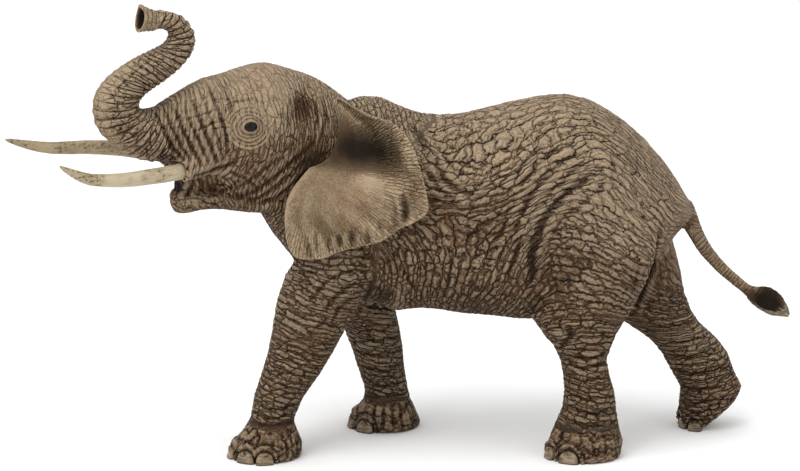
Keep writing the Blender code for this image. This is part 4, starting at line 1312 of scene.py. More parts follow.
def paint_and_light_group() -> bpy.types.NodeTree:
    """The shader group that lays a dark wash in the creases and a pale dry brushing on top, with painted
    light and painted shade from the light share.
    """
    known = bpy.data.node_groups.get("wash_and_dry_brushing")
    if known:
        return known
    inputs = {
        "Crack": FLOAT, "Pillow": FLOAT, "Tone": FLOAT, "Grit": FLOAT, "Place": VECTOR, "Wear": VECTOR,
        "Daub": VECTOR, "Deep": COLOR, "Ground": COLOR, "Brushed": COLOR, "Warm": COLOR, "Olive": COLOR,
        "Wash": FLOAT, "Brushing": FLOAT,
    }
    outputs = {"Color": COLOR, "Rough": FLOAT}
    wires, given, wanted = group_tree("wash_and_dry_brushing", "ShaderNodeTree", inputs, outputs)
    cavity, ridge, _ = wires.split(given["Wear"])
    light, warm, olive = wires.split(given["Daub"])
    place = given["Place"]
    cloud = wires.noise(place, 60.0, 3.0, 0.55)
    patch = wires.noise(wires.vector("ADD", place, (2.0, 0.0, 5.0)), 140.0, 3.0, 0.6)

    warmth = wires.math("MULTIPLY", wires.step(patch, 0.44, 0.68), 0.42)
    ground = wires.mix(wires.math("ADD", warmth, warm), given["Ground"], given["Warm"])
    green = wires.math("MULTIPLY", wires.step(cloud, 0.50, 0.72), 0.45)
    ground = wires.mix(wires.math("ADD", green, olive), ground, given["Olive"])
    raised = wires.math("MULTIPLY_ADD", given["Pillow"], 0.38, wires.math("MULTIPLY", given["Grit"], 1.10))
    for value, share in ((ridge, 0.70), (given["Tone"], 0.10), (cloud, 0.35)):
        raised = wires.math("MULTIPLY_ADD", value, share, raised)
    # The light share adds to the dry brushing: where it is positive this is painted light.
    raised = wires.math("ADD", raised, light)
    brushing = wires.math("MULTIPLY", wires.step(raised, 0.55, 1.35), given["Brushing"])
    lit = wires.mix(brushing, ground, given["Brushed"])
    sunk = wires.math("MULTIPLY_ADD", cavity, 0.55, wires.math("MULTIPLY", given["Crack"], 1.05))
    low = wires.step(given["Pillow"], 0.0, 0.7, 1.0, 0.0)
    sunk = wires.math("MULTIPLY_ADD", low, 0.20, sunk)
    # Where the light share is negative it is painted shade, mixed in with the wash's dark colour.
    shade = wires.math("MAXIMUM", wires.math("MULTIPLY", light, -1.0), 0.0)
    sunk = wires.math("MULTIPLY_ADD", shade, 0.70, sunk)
    sunk = wires.math("MULTIPLY", sunk, given["Wash"])
    wires.feed(wanted["Color"], wires.mix(wires.math("MINIMUM", sunk, 0.97), lit, given["Deep"]))
    wires.feed(wanted["Rough"], wires.step(sunk, 0.0, 1.0, 0.62, 0.80))
    return wires.tree


@dataclass(frozen=True)
class SkinFinish:
    """Painted hide.

    Args:
        name: The material's name.
        deep: The wash that settles in the creases, also the colour of the painted shade.
        ground: The colour between.
        brushed: The pale paint on what stands up, also the colour of the painted light.
        warm: Reddish-brown patches.
        olive: Greenish-grey patches.
        wash: Strength of the wash and of the painted shade.
        brushing: Strength of the pale paint and of the painted light.
        bump: Millimetres that the cracks go in.
    """

    name: str = "hide_paint"
    deep: tuple[float, float, float] = (19, 9, 3)
    ground: tuple[float, float, float] = (98, 72, 45)
    brushed: tuple[float, float, float] = (157, 137, 112)
    warm: tuple[float, float, float] = (104, 68, 45)
    olive: tuple[float, float, float] = (94, 83, 56)
    wash: float = 1.0
    brushing: float = 0.9
    bump: float = 0.42

    def make(self) -> bpy.types.Material:
        """The material."""
        material, wires, shader, place = new_paint(self.name)
        names = ("flow", "calm", "wear", "daub")
        carried = (wires.node("ShaderNodeAttribute", attribute_name=name) for name in names)
        flow, calm, wear, daub = (node.outputs["Vector"] for node in carried)
        drawn = wires.node("ShaderNodeGroup", node_tree=hide_group())
        for name, value in (("Flow", flow), ("Place", place), ("Calm", calm)):
            wires.feed(drawn.inputs[name], value)
        coat = wires.node("ShaderNodeGroup", node_tree=paint_and_light_group())
        for name in ("Crack", "Pillow", "Tone", "Grit"):
            wires.feed(coat.inputs[name], drawn.outputs[name])
        fed = {"Place": place, "Wear": wear, "Daub": daub, "Wash": self.wash, "Brushing": self.brushing}
        for name in ("deep", "ground", "brushed", "warm", "olive"):
            fed[name.title()] = paint(*getattr(self, name))
        for name, value in fed.items():
            wires.feed(coat.inputs[name], value)
        wires.feed(shader.inputs["Base Color"], coat.outputs["Color"])
        wires.feed(shader.inputs["Roughness"], coat.outputs["Rough"])
        shader.inputs["Specular IOR Level"].default_value = 0.17
        height = wires.math("MULTIPLY_ADD", drawn.outputs["Crack"], -0.45, drawn.outputs["Pillow"])
        height = wires.math("MULTIPLY_ADD", drawn.outputs["Grit"], 0.40, height)
        add_bump(wires, shader, height, self.bump)
        return material


def finish_tree(wires: Wiring, shape: object, paint_socket: object, wanted: object) -> None:
    """Ends a geometry tree: instances made real, and painted.

    Args:
        wires: The tree.
        shape: What it has made.
        paint_socket: The material.
        wanted: Where the result goes.
    """
    whole, dressed = wires.node("GeometryNodeRealizeInstances"), wires.node("GeometryNodeSetMaterial")
    wires.feed(whole.inputs["Geometry"], shape)
    wires.feed(dressed.inputs["Geometry"], whole.outputs["Geometry"])
    wires.feed(dressed.inputs["Material"], paint_socket)
    wires.feed(wanted, dressed.outputs["Geometry"])


@dataclass(frozen=True)
class NailFinish:
    """Pale horn with brown in its grooves.

    Args:
        name: The material's name.
        pale: The paler horn.
        dim: The darker horn.
        stain: The dark brown in the grooves and along the bottom.
        bump: Millimetres that the grooves go in.
    """

    name: str = "nail_paint"
    pale: tuple[float, float, float] = (138, 119, 93)
    dim: tuple[float, float, float] = (102, 84, 61)
    stain: tuple[float, float, float] = (40, 26, 15)
    bump: float = 0.08

    def make(self) -> bpy.types.Material:
        """The material."""
        material, wires, shader, place = new_paint(self.name)
        rings = wires.vector("MULTIPLY", place, (300.0, 300.0, 1900.0))
        streak, cloud = wires.noise(rings, 1.0, 3.0, 0.6), wires.noise(place, 500.0, 2.0)
        # Darker towards the bottom of each nail, within 0.7 mm of the floor.
        low = wires.step(wires.split(place)[2], 0.0, 0.0007, 0.75, 0.0)
        ground = wires.mix(wires.step(cloud, 0.35, 0.65), paint(*self.pale), paint(*self.dim))
        darkening = wires.math("MAXIMUM", wires.math("MULTIPLY", wires.step(streak, 0.50, 0.62), 0.62), low)
        wires.feed(shader.inputs["Base Color"], wires.mix(darkening, ground, paint(*self.stain)))
        wires.feed(shader.inputs["Roughness"], wires.step(darkening, 0.0, 1.0, 0.5, 0.72))
        add_bump(wires, shader, wires.math("SUBTRACT", wires.math("MULTIPLY", cloud, 0.3), darkening), self.bump)
        return material


@dataclass
class Nails:
    """The toenails: one horn shape set round every foot by a geometry tree.

    Args:
        turns: Degrees round each foot, 0 towards the head and 90 to the figure's left, with each width.
        tall: Height of a nail in millimetres.
        out: How far a nail stands out.
        waves: Place, width, depth and darkness of each fold round a nail; a nail's own edge is at 1.
    """

    turns: dict[str, tuple[tuple[float, float], ...]] = field(default_factory=lambda: {
        "left_foreleg": ((-38, 4.4), (9, 4.6), (55, 5.0), (92, 4.7)),
        "right_foreleg": ((53, 4.8), (10, 4.6), (-36, 4.9), (-72, 4.7)),
        "left_hind_leg": ((-30, 4.4), (16, 4.7), (60, 5.4)),
        "right_hind_leg": ((72, 3.6), (22, 4.0), (-28, 4.0)),
    })
    tall: float = 3.3
    out: float = 0.9
    waves: tuple[tuple[float, float, float, float], ...] = (
        (1.06, 0.13, 0.40, 0.95), (1.36, 0.14, -0.30, 0.0), (1.62, 0.10, 0.18, 0.5),
    )

    def shape(self) -> bpy.types.Mesh:
        """One nail a millimetre wide, flat behind and below, rounded in front and on top."""
        rows, cols = 8, 12
        points = []
        for row in range(rows + 1):
            rise = row / rows
            half = math.sqrt(max(1.0 - rise**3.2, 0.0)) * (1.0 - 0.10 * rise)
            for col in range(cols + 1):
                across = math.cos(math.pi * (1.0 - col / cols))
                bulge = math.sqrt(max(1.0 - across**2, 0.0)) ** 0.8 * (1.0 - rise**2.4) ** 0.5
                points.append((across * half * 0.5, -bulge * (1.0 - 0.28 * rise), rise))
        front = len(points)
        points += [(x, 0.9, z) for x, _, z in points]
        index = np.arange(front).reshape(rows + 1, cols + 1)
        quads = np.stack([index[:-1, :-1], index[:-1, 1:], index[1:, 1:], index[1:, :-1]], -1).reshape(-1, 4)
        edge = np.concatenate([index[0], index[1:, -1], index[-1, -2::-1], index[-2:0:-1, 0]])
        after = np.roll(edge, -1)
        walls = np.stack([edge, edge + front, after + front, after], 1)
        return make_mesh("nail", np.array(points), np.concatenate([quads, quads[:, ::-1] + front, walls]))

    def cuticles(
        self, shell: Shell, seats: Sequence[tuple[Array, Array, float, float]]
    ) -> tuple[Array, Array]:
        """The folds of skin round the nails.

        Args:
            shell: The skin.
            seats: Where each nail sits.

        Returns:
            Metres inwards and darkness at each corner.
        """
        moved, dark = np.zeros(len(shell.points)), np.zeros(len(shell.points))
        for place, way, width, _ in seats:
            near = np.flatnonzero((np.abs(shell.points - place) < 0.009).all(1))
            gap = shell.points[near] - place
            near, gap = near[np.abs(gap @ way) < 0.005], gap[np.abs(gap @ way) < 0.005]
            across = gap @ np.cross(way, [0.0, 0.0, 1.0])
            ring = np.sqrt((across / (0.5 * width)) ** 2 + (gap[:, 2] / (self.tall * MM)) ** 2)
            for middle, wide, depth, tone in self.waves:
                wave = np.exp(-(((ring - middle) / wide) ** 2))
                moved[near] += depth * MM * wave
                dark[near] = np.maximum(dark[near], tone * wave)
        return moved, dark

    def seats(self, hide: "Hide") -> list[tuple[Array, Array, float, float]]:
        """Where each nail sits: a place on the ground, the way out, its width and how it leans.

        Args:
            hide: The elephant's skin.

        Returns:
            Places, ways, widths and leanings.
        """
        found = []
        for name, turns in self.turns.items():
            own = hide.coarse.points[hide.labels == NODE_NUMBERS[name]]
            foot = own[own[:, 2] < 0.004]
            centre = (foot.min(0) + foot.max(0)) / 2
            for degrees, width in turns:
                angle = math.radians(degrees)
                way = np.array([-math.cos(angle), -math.sin(angle), 0.0])
                start = np.array([centre[0], centre[1], 0.0]) + way * 0.03
                cast = hide.sculptor.tree.ray_cast
                low, high = (cast(Vector(start + [0, 0, z]), Vector(-way)) for z in (0.0012, 0.0036))
                if low[0] is None or high[0] is None:
                    continue
                facing = unit(np.array([low[1][0], low[1][1], 0.0]) + way * 0.3)
                lean = math.atan2((low[0] - high[0]) @ Vector(way), 0.0024)
                found.append((np.array([low[0][0], low[0][1], 0.0]), facing, width * MM, lean))
        return found

    def tree(self) -> bpy.types.NodeTree:
        """The geometry tree that sets a nail on every place given to it."""
        inputs = {
            "Geometry": GEOMETRY, "Nail": "NodeSocketObject", "Height": FLOAT, "Thickness": FLOAT,
            "Paint": MATERIAL,
        }
        wires, given, wanted = group_tree("set_nails", "GeometryNodeTree", inputs, {"Geometry": GEOMETRY})
        shape = wires.node("GeometryNodeObjectInfo")
        wires.feed(shape.inputs["Object"], given["Nail"])
        turn, width, lean = wires.split(wires.named("facing"))
        put = wires.node("GeometryNodeInstanceOnPoints")
        wires.feed(put.inputs["Points"], given["Geometry"])
        wires.feed(put.inputs["Instance"], shape.outputs["Geometry"])
        wires.feed(put.inputs["Rotation"], wires.combine(lean, None, turn))
        wires.feed(put.inputs["Scale"], wires.combine(width, given["Thickness"], given["Height"]))
        finish_tree(wires, put.outputs["Instances"], given["Paint"], wanted["Geometry"])
        return wires.tree

    def build(self, hide: "Hide", finish: NailFinish) -> bpy.types.Object:
        """Makes all the nails as one piece."""
        material, seats = finish.make(), hide.nail_seats
        mesh = bpy.data.meshes.new("places")
        mesh.from_pydata([tuple(place - way * 0.0002) for place, way, _, _ in seats], [], [])
        leans = [-min(max(lean, 0.0), 0.6) for *_, lean in seats]
        turns = [(math.atan2(way[0], -way[1]), width) for _, way, width, _ in seats]
        give(mesh, "facing", np.array([(turn, width, lean) for (turn, width), lean in zip(turns, leans)]))
        thing, model = add_object("toenails", mesh), add_object("nail", self.shape())
        values = {"Nail": model, "Height": self.tall * MM, "Thickness": self.out * MM, "Paint": material}
        run_tree(thing, self.tree(), values)
        result = evaluated_mesh(thing)
        for each in (thing, model):
            bpy.data.objects.remove(each)
        for corner in result.vertices:
            corner.co.z = max(corner.co.z, 0.0)
        result.shade_smooth()
        return add_object("toenails", result)


@dataclass
class HideRelief:
    """The geometry tree that raises the pads of the hide and sinks the lines between them.

    Args:
        pillow: Metres that a pad stands up.
        crack: Metres that a line goes in.
    """

    pillow: float = 0.00030
    crack: float = 0.00010

    def tree(self) -> bpy.types.NodeTree:
        """The tree, made once."""
        known = bpy.data.node_groups.get("hide_relief")
        if known:
            return known
        inputs = {"Geometry": GEOMETRY, "Pad Height": FLOAT, "Line Depth": FLOAT, "Paint": MATERIAL}
        wires, given, wanted = group_tree("hide_relief", "GeometryNodeTree", inputs, {"Geometry": GEOMETRY})
        place = wires.node("GeometryNodeInputPosition").outputs[0]
        found = HidePattern(0.34).wire(wires, wires.named("flow"), place, wires.named("calm"))
        up = wires.math("MULTIPLY", wires.math("SUBTRACT", found["pillow"], 0.5), given["Pad Height"])
        rise = wires.math("SUBTRACT", up, wires.math("MULTIPLY", found["crack"], given["Line Depth"]))
        normal = wires.node("GeometryNodeInputNormal").outputs[0]
        move = wires.node("GeometryNodeSetPosition")
        wires.feed(move.inputs["Geometry"], given["Geometry"])
        wires.feed(move.inputs["Offset"], wires.vector("SCALE", normal, scale=rise))
        finish_tree(wires, move.outputs["Geometry"], given["Paint"], wanted["Geometry"])
        return wires.tree

    def raise_pads(self, shell: Shell, flow: Array, calm: Array, material: bpy.types.Material) -> Shell:
        """Runs the tree over a skin.

        Args:
            shell: The skin.
            flow: Rows, cells and amount at its corners.
            calm: How straight the rows run there.
            material: Its paint.

        Returns:
            The raised skin.
        """
        mesh = make_mesh("skin", shell.points, shell.quads)
        give(mesh, "flow", flow)
        give(mesh, "calm", calm)
        thing = add_object("skin", mesh)
        run_tree(thing, self.tree(), {"Pad Height": self.pillow, "Line Depth": self.crack, "Paint": material})
        raised = evaluated_mesh(thing)
        bpy.data.objects.remove(thing)
        shell.points = mesh_points(raised)
        return shell


def run_tree(thing: bpy.types.Object, tree: bpy.types.NodeTree, values: dict[str, object]) -> None:
    """Puts a geometry tree on an object.

    Args:
        thing: The object.
        tree: The tree.
        values: Its inputs by name.
    """
    tool = thing.modifiers.new(tree.name, "NODES")
    tool.node_group = tree
    names = {item.name: item.identifier for item in tree.interface.items_tree if item.in_out == "INPUT"}
    for name, value in values.items():
        tool[names[name]] = value


# Metres of a fine hollow and a wide one that look sunk, of a dark fold and of a pale swelling.
FINE_HOLLOW, WIDE_HOLLOW, FOLD_DARK, SWELL_PALE = 0.00006, 0.00028, 0.00045, 0.00014
TRUNK_BACK, TRUNK_LOW = -0.050, 0.078


def loops_of(sides: Array) -> list[Array]:
    """Sorts open sides into the loops that they make.

    Args:
        sides: Two corner numbers for each side.

    Returns:
        The sides of each loop.
    """
    parent: dict[int, int] = {}

    def root(corner: int) -> int:
        """The corner that stands for a corner's loop."""
        while parent.setdefault(corner, corner) != corner:
            parent[corner] = parent[parent[corner]]
            corner = parent[corner]
        return corner

    for a, b in sides.tolist():
        parent[root(a)] = root(b)
    owner = np.array([root(a) for a, _ in sides.tolist()])
    return [sides[owner == number] for number in np.unique(owner)]


@dataclass
class Hide:
    """The elephant's skin: torso, head, trunk, legs and tail, as one even surface cut at the CAD seams.

    Args:
        picture: The picture its lines were read from.
        broad: Size of a quad on the torso, in metres.
        fine: Size of a quad on the other pieces.
        margin: Quads that a piece runs on under its neighbours.
        tuck: Metres that the margin goes in at its end.
        reach: Metres from a CAD solid within which the skin can be its own.
    """

    picture: Picture
    broad: float = 0.0005
    fine: float = 0.00034
    margin: int = 4
    tuck: float = 0.00016
    reach: float = 0.004

    def __post_init__(self) -> None:
        """Makes the coarse skin and lays the wrinkles over it."""
        self.trees = {name: node_tree(name) for name in HIDE_NODES}
        self.coarse = remesh(HIDE_NODES, Grain.voxel, 2)
        self.labels = self.label(self.coarse.points)
        self.sculptor = Sculptor(self.picture, self.coarse)
        self.flow = Grain().solve(self.sculptor, self.coarse, self.labels, BODY_WRINKLES + HEAD_WRINKLES)
        self.nails = Nails()
        self.nail_seats = self.nails.seats(self)
        self.corners = self.coarse.triangles()
        self.carrier = BVHTree.FromPolygons(self.coarse.points.tolist(), self.corners.tolist())

    def label(self, points: Array) -> Array:
        """The number of the CAD node that each point is nearest to."""
        best = np.full(len(points), self.reach)
        result = np.full(len(points), NODE_NUMBERS["torso"])
        for name, tree in self.trees.items():
            low, high = (np.array(corner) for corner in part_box(name))
            near = np.flatnonzero(((points > low - 0.0015) & (points < high + 0.0015)).all(1))
            gap = distances(tree, points[near], self.reach)
            closer = gap < best[near]
            best[near[closer]] = gap[closer]
            result[near[closer]] = NODE_NUMBERS[name]
        return result

    def carry(self, points: Array) -> Array:
        """Rows, cells and amount at points of a finer skin."""
        find = self.carrier.find_nearest
        hits = [find(point) for point in points.tolist()]
        places = np.array([hit[0] for hit in hits])
        faces = self.corners[np.array([hit[2] for hit in hits])]
        a, b, c = (self.coarse.points[faces[:, k]] for k in range(3))
        # The share of each corner of the triangle, from dot products of its sides.
        u, v, w = b - a, c - a, places - a
        uu, uv, vv = (u * u).sum(1), (u * v).sum(1), (v * v).sum(1)
        wu, wv = (w * u).sum(1), (w * v).sum(1)
        scale = np.maximum(uu * vv - uv * uv, 1e-24)
        s = np.clip((vv * wu - uv * wv) / scale, 0, 1)[:, None]
        t = np.clip((uu * wv - uv * wu) / scale, 0, 1)[:, None]
        flow = self.flow
        return flow[faces[:, 0]] * (1 - s - t) + flow[faces[:, 1]] * s + flow[faces[:, 2]] * t

    @staticmethod
    def wear(shell: Shell) -> Array:
        """How sunk and how raised each corner of a skin lies, from 0 to 1."""
        normals = shell.normals()
        near = ((shell.blur(shell.points, 5) - shell.points) * normals).sum(1)
        wide = ((shell.blur(shell.points, 40) - shell.points) * normals).sum(1)
        depth = 0.4 * near / FINE_HOLLOW + 0.6 * wide / WIDE_HOLLOW
        sunk, raised = (1.0 - np.exp(-np.maximum(value, 0.0)) for value in (depth, -depth))
        return np.stack([sunk, raised, np.zeros(len(depth))], 1)

    def tints_and_light(self, shell: Shell) -> Array:
        """Light, warm and olive shares painted at each corner; the light share holds painted light and
        painted shade.
        """
        up = shell.normals()[:, 2]
        height = shell.points[:, 2]
        # Paler on top and higher up, darker underneath: partly dry brushing from above, partly painted light
        # on top and painted shade underneath.
        light = 0.30 * ease(0.1, 0.9, up) - 0.06 * ease(0.0, 0.8, -up)
        light += 0.14 * (height - 0.062) / 0.05 - 0.27
        result = np.stack([light, np.zeros(len(up)), np.zeros(len(up))], 1)
        on_trunk = (shell.points[:, 0] < TRUNK_BACK) & (height > TRUNK_LOW)
        result[on_trunk] += TrunkLine().strip(shell.points[on_trunk])[:, None] * np.array([0.15, 0.0, 0.35])
        for daub in TINTS_AND_LIGHT:
            middle = self.sculptor.trace((daub.pixel, daub.pixel))
            if not len(middle):
                continue
            plane = HEAD_MIDDLE if daub.half is Half.HEAD else BODY_MIDDLE
            reach = daub.radius / self.sculptor.picture.pixels_per_mm * MM
            for spot in (middle[0], plane.mirror(middle[0])):
                share = np.exp(-((shell.points - spot) ** 2).sum(1) / reach**2)
                result += share[:, None] * np.array([daub.light, daub.warm, daub.olive])
        return result

    def build(
        self, names: Sequence[str], voxel: float, rounds: int, finish: SkinFinish
    ) -> list[bpy.types.Object]:
        """Makes some of the hide's pieces.

        Args:
            names: The CAD nodes they stand for.
            voxel: Size of a quad.
            rounds: How far the solids' facets are evened.
            finish: Their paint.

        Returns:
            The pieces.
        """
        shell = remesh(HIDE_NODES, voxel, rounds)
        labels = self.label(shell.points)
        flow = self.carry(shell.points)
        moved, dark = self.nails.cuticles(shell, self.nail_seats)
        folded, narrow = self.sculptor.press(shell, FOLDS)
        moved = moved + folded
        shell.points = shell.points - shell.normals() * moved[:, None]
        material = finish.make()
        flow, calm = flow[:, :3], np.tile(flow[:, 3:], 3)
        shell = HideRelief().raise_pads(shell, flow, calm, material)
        self.hollow_trunk(shell, labels)
        if voxel == self.fine:
            self.skin_tree = shell.tree()
        shell.points[:, 2] = np.maximum(shell.points[:, 2], 0.0)
        wear = self.wear(shell)
        pressed = 0.9 * np.clip(narrow / FOLD_DARK, 0.0, 1.0) ** 1.5
        wear[:, 0] = 1.0 - (1.0 - wear[:, 0]) * (1.0 - pressed) * (1.0 - dark)
        wear[:, 1] = np.maximum(wear[:, 1], np.clip(-moved / SWELL_PALE, 0.0, 0.7))
        values = {"flow": flow, "calm": calm, "wear": wear, "daub": self.tints_and_light(shell)}
        return [self.cut_piece(name, shell, labels == NODE_NUMBERS[name], values, material) for name in names]

    @staticmethod
    def hollow_trunk(shell: Shell, labels: Array, depth: float = 0.0040, narrow: float = 0.78) -> None:
        """Narrows the trunk's end inside its open tip, and flattens it.

        Args:
            shell: The skin.
            labels: The number of each corner's CAD node.
            depth: Metres from the trunk line's start to the flat end.
            narrow: Share of its width that is left there.
        """
        own = np.flatnonzero(labels == NODE_NUMBERS["trunk"])
        place, way, along = TrunkLine().nearest(shell.points[own])
        ahead = along + ((shell.points[own] - place) * way).sum(1)
        widening = narrow + (1.0 - narrow) * ease(depth + 0.0002, depth + 0.0014, ahead)
        share = np.where(along < 2 * depth, widening, 1.0)
        fresh = place + (shell.points[own] - place) * share[:, None]
        ahead = along + ((fresh - place) * way).sum(1)
        near = (along < depth) & (ahead < depth)
        fresh[near] += (depth - ahead[near])[:, None] * way[near]
        shell.points[own] = fresh

    def cut_piece(
        self, name: str, shell: Shell, own: Array, values: dict[str, Array], material: bpy.types.Material
    ) -> bpy.types.Object:
        """Cuts one piece out of the skin, with a margin tucked under its neighbours, and closes it.

        Args:
            name: The CAD node it stands for.
            shell: The whole skin.
            own: The corners that are the piece's own.
            values: What the corners carry, by name.
            material: The paint.

        Returns:
            The piece.
        """
        away = 99
        ring = np.where(own, 0, away)
        first, second = shell.edges.T
        for step in range(1, self.margin + 1):
            grown = ring < away
            fresh = np.zeros(len(own), bool)
            fresh[first[grown[second]]] = True
            fresh[second[grown[first]]] = True
            ring[fresh & ~grown] = step
        kept = shell.quads[(ring[shell.quads] < away).all(1)]
        under = self.tuck * (np.where(ring < away, ring, 0) / self.margin) ** 2
        points = shell.points - shell.normals() * under[:, None]
        sides = np.concatenate([kept[:, [k, (k + 1) % 4]] for k in range(4)])
        codes = sides[:, 0] * len(own) + sides[:, 1]
        open_sides = sides[~np.isin(sides[:, 1] * len(own) + sides[:, 0], codes)]
        faces = [halves(kept)]
        extra, sources = [], []
        for loop in loops_of(open_sides):
            faces.append(np.stack([loop[:, 1], loop[:, 0], np.full(len(loop), len(own) + len(extra))], 1))
            extra.append(points[loop[:, 0]].mean(0))
            sources.append(loop[0, 0])
        faces = np.concatenate(faces)
        if extra:
            points = np.concatenate([points, np.array(extra)])
        used, back = np.unique(faces, return_inverse=True)
        source = np.concatenate([np.arange(len(own)), np.array(sources, int)])[used]
        carried = {key: value[source] for key, value in values.items()}
        return dress(name + "_hide", points[used], back.reshape(-1, 3), carried, material)


SLOTS = {
    **dict.fromkeys(("torso", *HEAD_NODES), "skin"),
    **dict.fromkeys(LEG_NODES, "leg_skin"),
    "tail": "tail_skin",
}


@dataclass(frozen=True)
class Daub:
    """A soft patch of paint, as seen in the picture.

    Args:
        pixel: Its middle.
        radius: Its radius in pixels.
        light: How much paler it is, or darker where negative; in several patches this is painted light where
            it is paler and painted shade where it is darker.
        warm: Its share of reddish brown.
        olive: Its share of greenish grey.
        half: The part of the figure it lies on.
    """

    pixel: tuple[float, float]
    radius: float
    light: float = 0.0
    warm: float = 0.0
    olive: float = 0.0
    half: Half = Half.BODY


def body_folds(rows: Sequence[tuple[Pixels, float, float]]) -> tuple[Fold, ...]:
    """Folds on both sides of the body, from lines, depths and widths."""
    return tuple(Fold(*row) for row in rows)


def head_folds(rows: Sequence[tuple[Pixels, float, float]]) -> tuple[Fold, ...]:
    """Folds on both sides of the head, from lines, depths and widths."""
    return tuple(Fold(*row, Half.HEAD) for row in rows)


HIP_FOLDS = body_folds((
    (((604, 168), (590, 176), (566, 193), (545, 217), (532, 246), (527, 272)), 0.62, 1.10),
    (((597, 158), (575, 170), (556, 188), (540, 208)), 0.38, 0.75),
    (((586, 150), (565, 160), (545, 176), (528, 200), (515, 228)), 0.40, 0.80),
    (((574, 144), (553, 152), (536, 166), (520, 188)), 0.34, 0.70),
    (((562, 134), (545, 144), (530, 155), (517, 174)), 0.30, 0.65),
    (((541, 230), (533, 260), (529, 290)), 0.50, 1.00),
    (((522, 234), (513, 262), (505, 286)), 0.34, 0.75),
    (((607, 176), (600, 190), (585, 203), (566, 216)), 0.34, 0.80),
    (((588, 140), (602, 152), (606, 168)), -0.55, 2.00),
    (((612, 150), (614, 168), (611, 182)), 0.30, 0.90),
    (((500, 224), (492, 246), (484, 272)), 0.24, 0.60),
    (((512, 205), (500, 236), (490, 262), (488, 284)), 0.26, 0.60),
    (((466, 212), (470, 240), (468, 268)), 0.20, 0.55),
    (((448, 232), (450, 262), (447, 296)), 0.22, 0.60),
))
SHOULDER_FOLDS = body_folds((
    (((432, 156), (438, 172), (450, 187), (466, 194), (484, 195)), 0.45, 0.85),
    (((426, 160), (431, 176), (440, 190), (456, 200)), 0.34, 0.70),
    (((443, 152), (452, 168), (468, 176)), 0.26, 0.60),
    (((410, 122), (422, 140), (430, 160)), 0.42, 1.00),
    (((372, 252), (375, 275), (370, 290), (361, 308), (353, 326)), 0.22, 0.70),
    (((384, 284), (383, 296), (378, 308)), 0.70, 2.20),
    (((360, 280), (336, 296), (321, 316)), 0.34, 0.70),
    (((355, 296), (339, 309), (329, 329)), 0.34, 0.70),
    (((350, 268), (326, 282), (312, 300)), 0.26, 0.60),
    (((398, 262), (408, 280), (424, 296)), 0.22, 0.60),
))
LEG_FOLDS = body_folds((
    (((252, 421), (262, 426), (278, 425), (291, 419)), 0.15, 0.50),
    (((253, 412), (273, 420), (296, 411)), 0.24, 0.50),
    (((256, 400), (276, 411), (300, 402)), 0.24, 0.50),
    (((268, 372), (288, 388), (304, 398)), 0.22, 0.45),
    (((262, 386), (280, 374), (306, 372)), 0.20, 0.45),
    (((558, 328), (561, 340)), -0.60, 1.50),
    (((568, 324), (569, 338), (560, 348)), 0.45, 0.75),
    (((571, 353), (588, 361), (608, 353)), 0.45, 0.70),
    (((565, 360), (584, 369), (608, 362)), 0.40, 0.65),
    (((562, 372), (584, 381), (612, 376)), 0.28, 0.60),
    (((564, 392), (586, 400), (615, 396)), 0.28, 0.60),
    (((563, 406), (586, 414), (617, 410)), 0.30, 0.60),
    (((562, 417), (584, 427), (619, 422)), 0.30, 0.60),
    (((662, 220), (657, 250), (646, 285), (632, 318)), 0.60, 0.80),
    (((640, 262), (634, 290), (622, 312)), 0.20, 0.60),
))
FAR_LEG_FOLDS = tuple(
    Fold(pixels, depth, width, Half.BODY, False)
    for pixels, depth, width in (
        (((362, 396), (384, 397), (409, 393)), 0.16, 0.50),
        (((366, 306), (380, 309), (398, 310)), 0.28, 0.40),
        (((352, 350), (378, 356), (402, 350)), 0.30, 0.60),
        (((356, 364), (382, 371), (404, 364)), 0.30, 0.60),
        (((362, 380), (384, 386), (407, 380)), 0.30, 0.60),
        (((350, 336), (376, 342), (402, 336)), 0.28, 0.60),
        (((657, 339), (677, 343), (706, 337)), 0.34, 0.65),
        (((664, 354), (686, 358), (720, 350)), 0.36, 0.65),
        (((672, 370), (694, 374), (731, 366)), 0.34, 0.65),
        (((645, 325), (664, 327), (693, 322)), 0.30, 0.60),
        (((680, 386), (700, 390), (722, 386)), 0.34, 0.70),
        (((682, 402), (698, 404), (712, 398)), 0.34, 0.60),
    )
)
FOOT_FOLDS = body_folds((
    (((273, 440), (272, 458)), 0.34, 0.45),
    (((286, 438), (288, 459)), 0.34, 0.45),
    (((295, 436), (299, 452)), 0.28, 0.45),
    (((260, 436), (256, 448)), 0.28, 0.45),
    (((247, 438), (241, 450)), 0.26, 0.45),
    (((236, 444), (233, 452)), 0.26, 0.45),
    (((592, 434), (594, 456)), 0.22, 0.45),
    (((604, 434), (607, 454)), 0.22, 0.45),
    (((580, 434), (582, 446)), 0.22, 0.45),
    (((614, 434), (616, 449)), 0.22, 0.45),
)) + tuple(
    Fold(pixels, depth, 0.5, Half.BODY, False)
    for pixels, depth in (
        (((375, 405), (372, 431)), 0.40),
        (((384, 405), (383, 433)), 0.40),
        (((392, 405), (394, 433)), 0.40),
        (((399, 404), (404, 431)), 0.38),
        (((406, 401), (413, 427)), 0.34),
        (((366, 408), (360, 420)), 0.26),
        (((700, 408), (694, 424)), 0.28),
        (((712, 400), (706, 418)), 0.28),
        (((724, 394), (717, 410)), 0.24),
    )
)
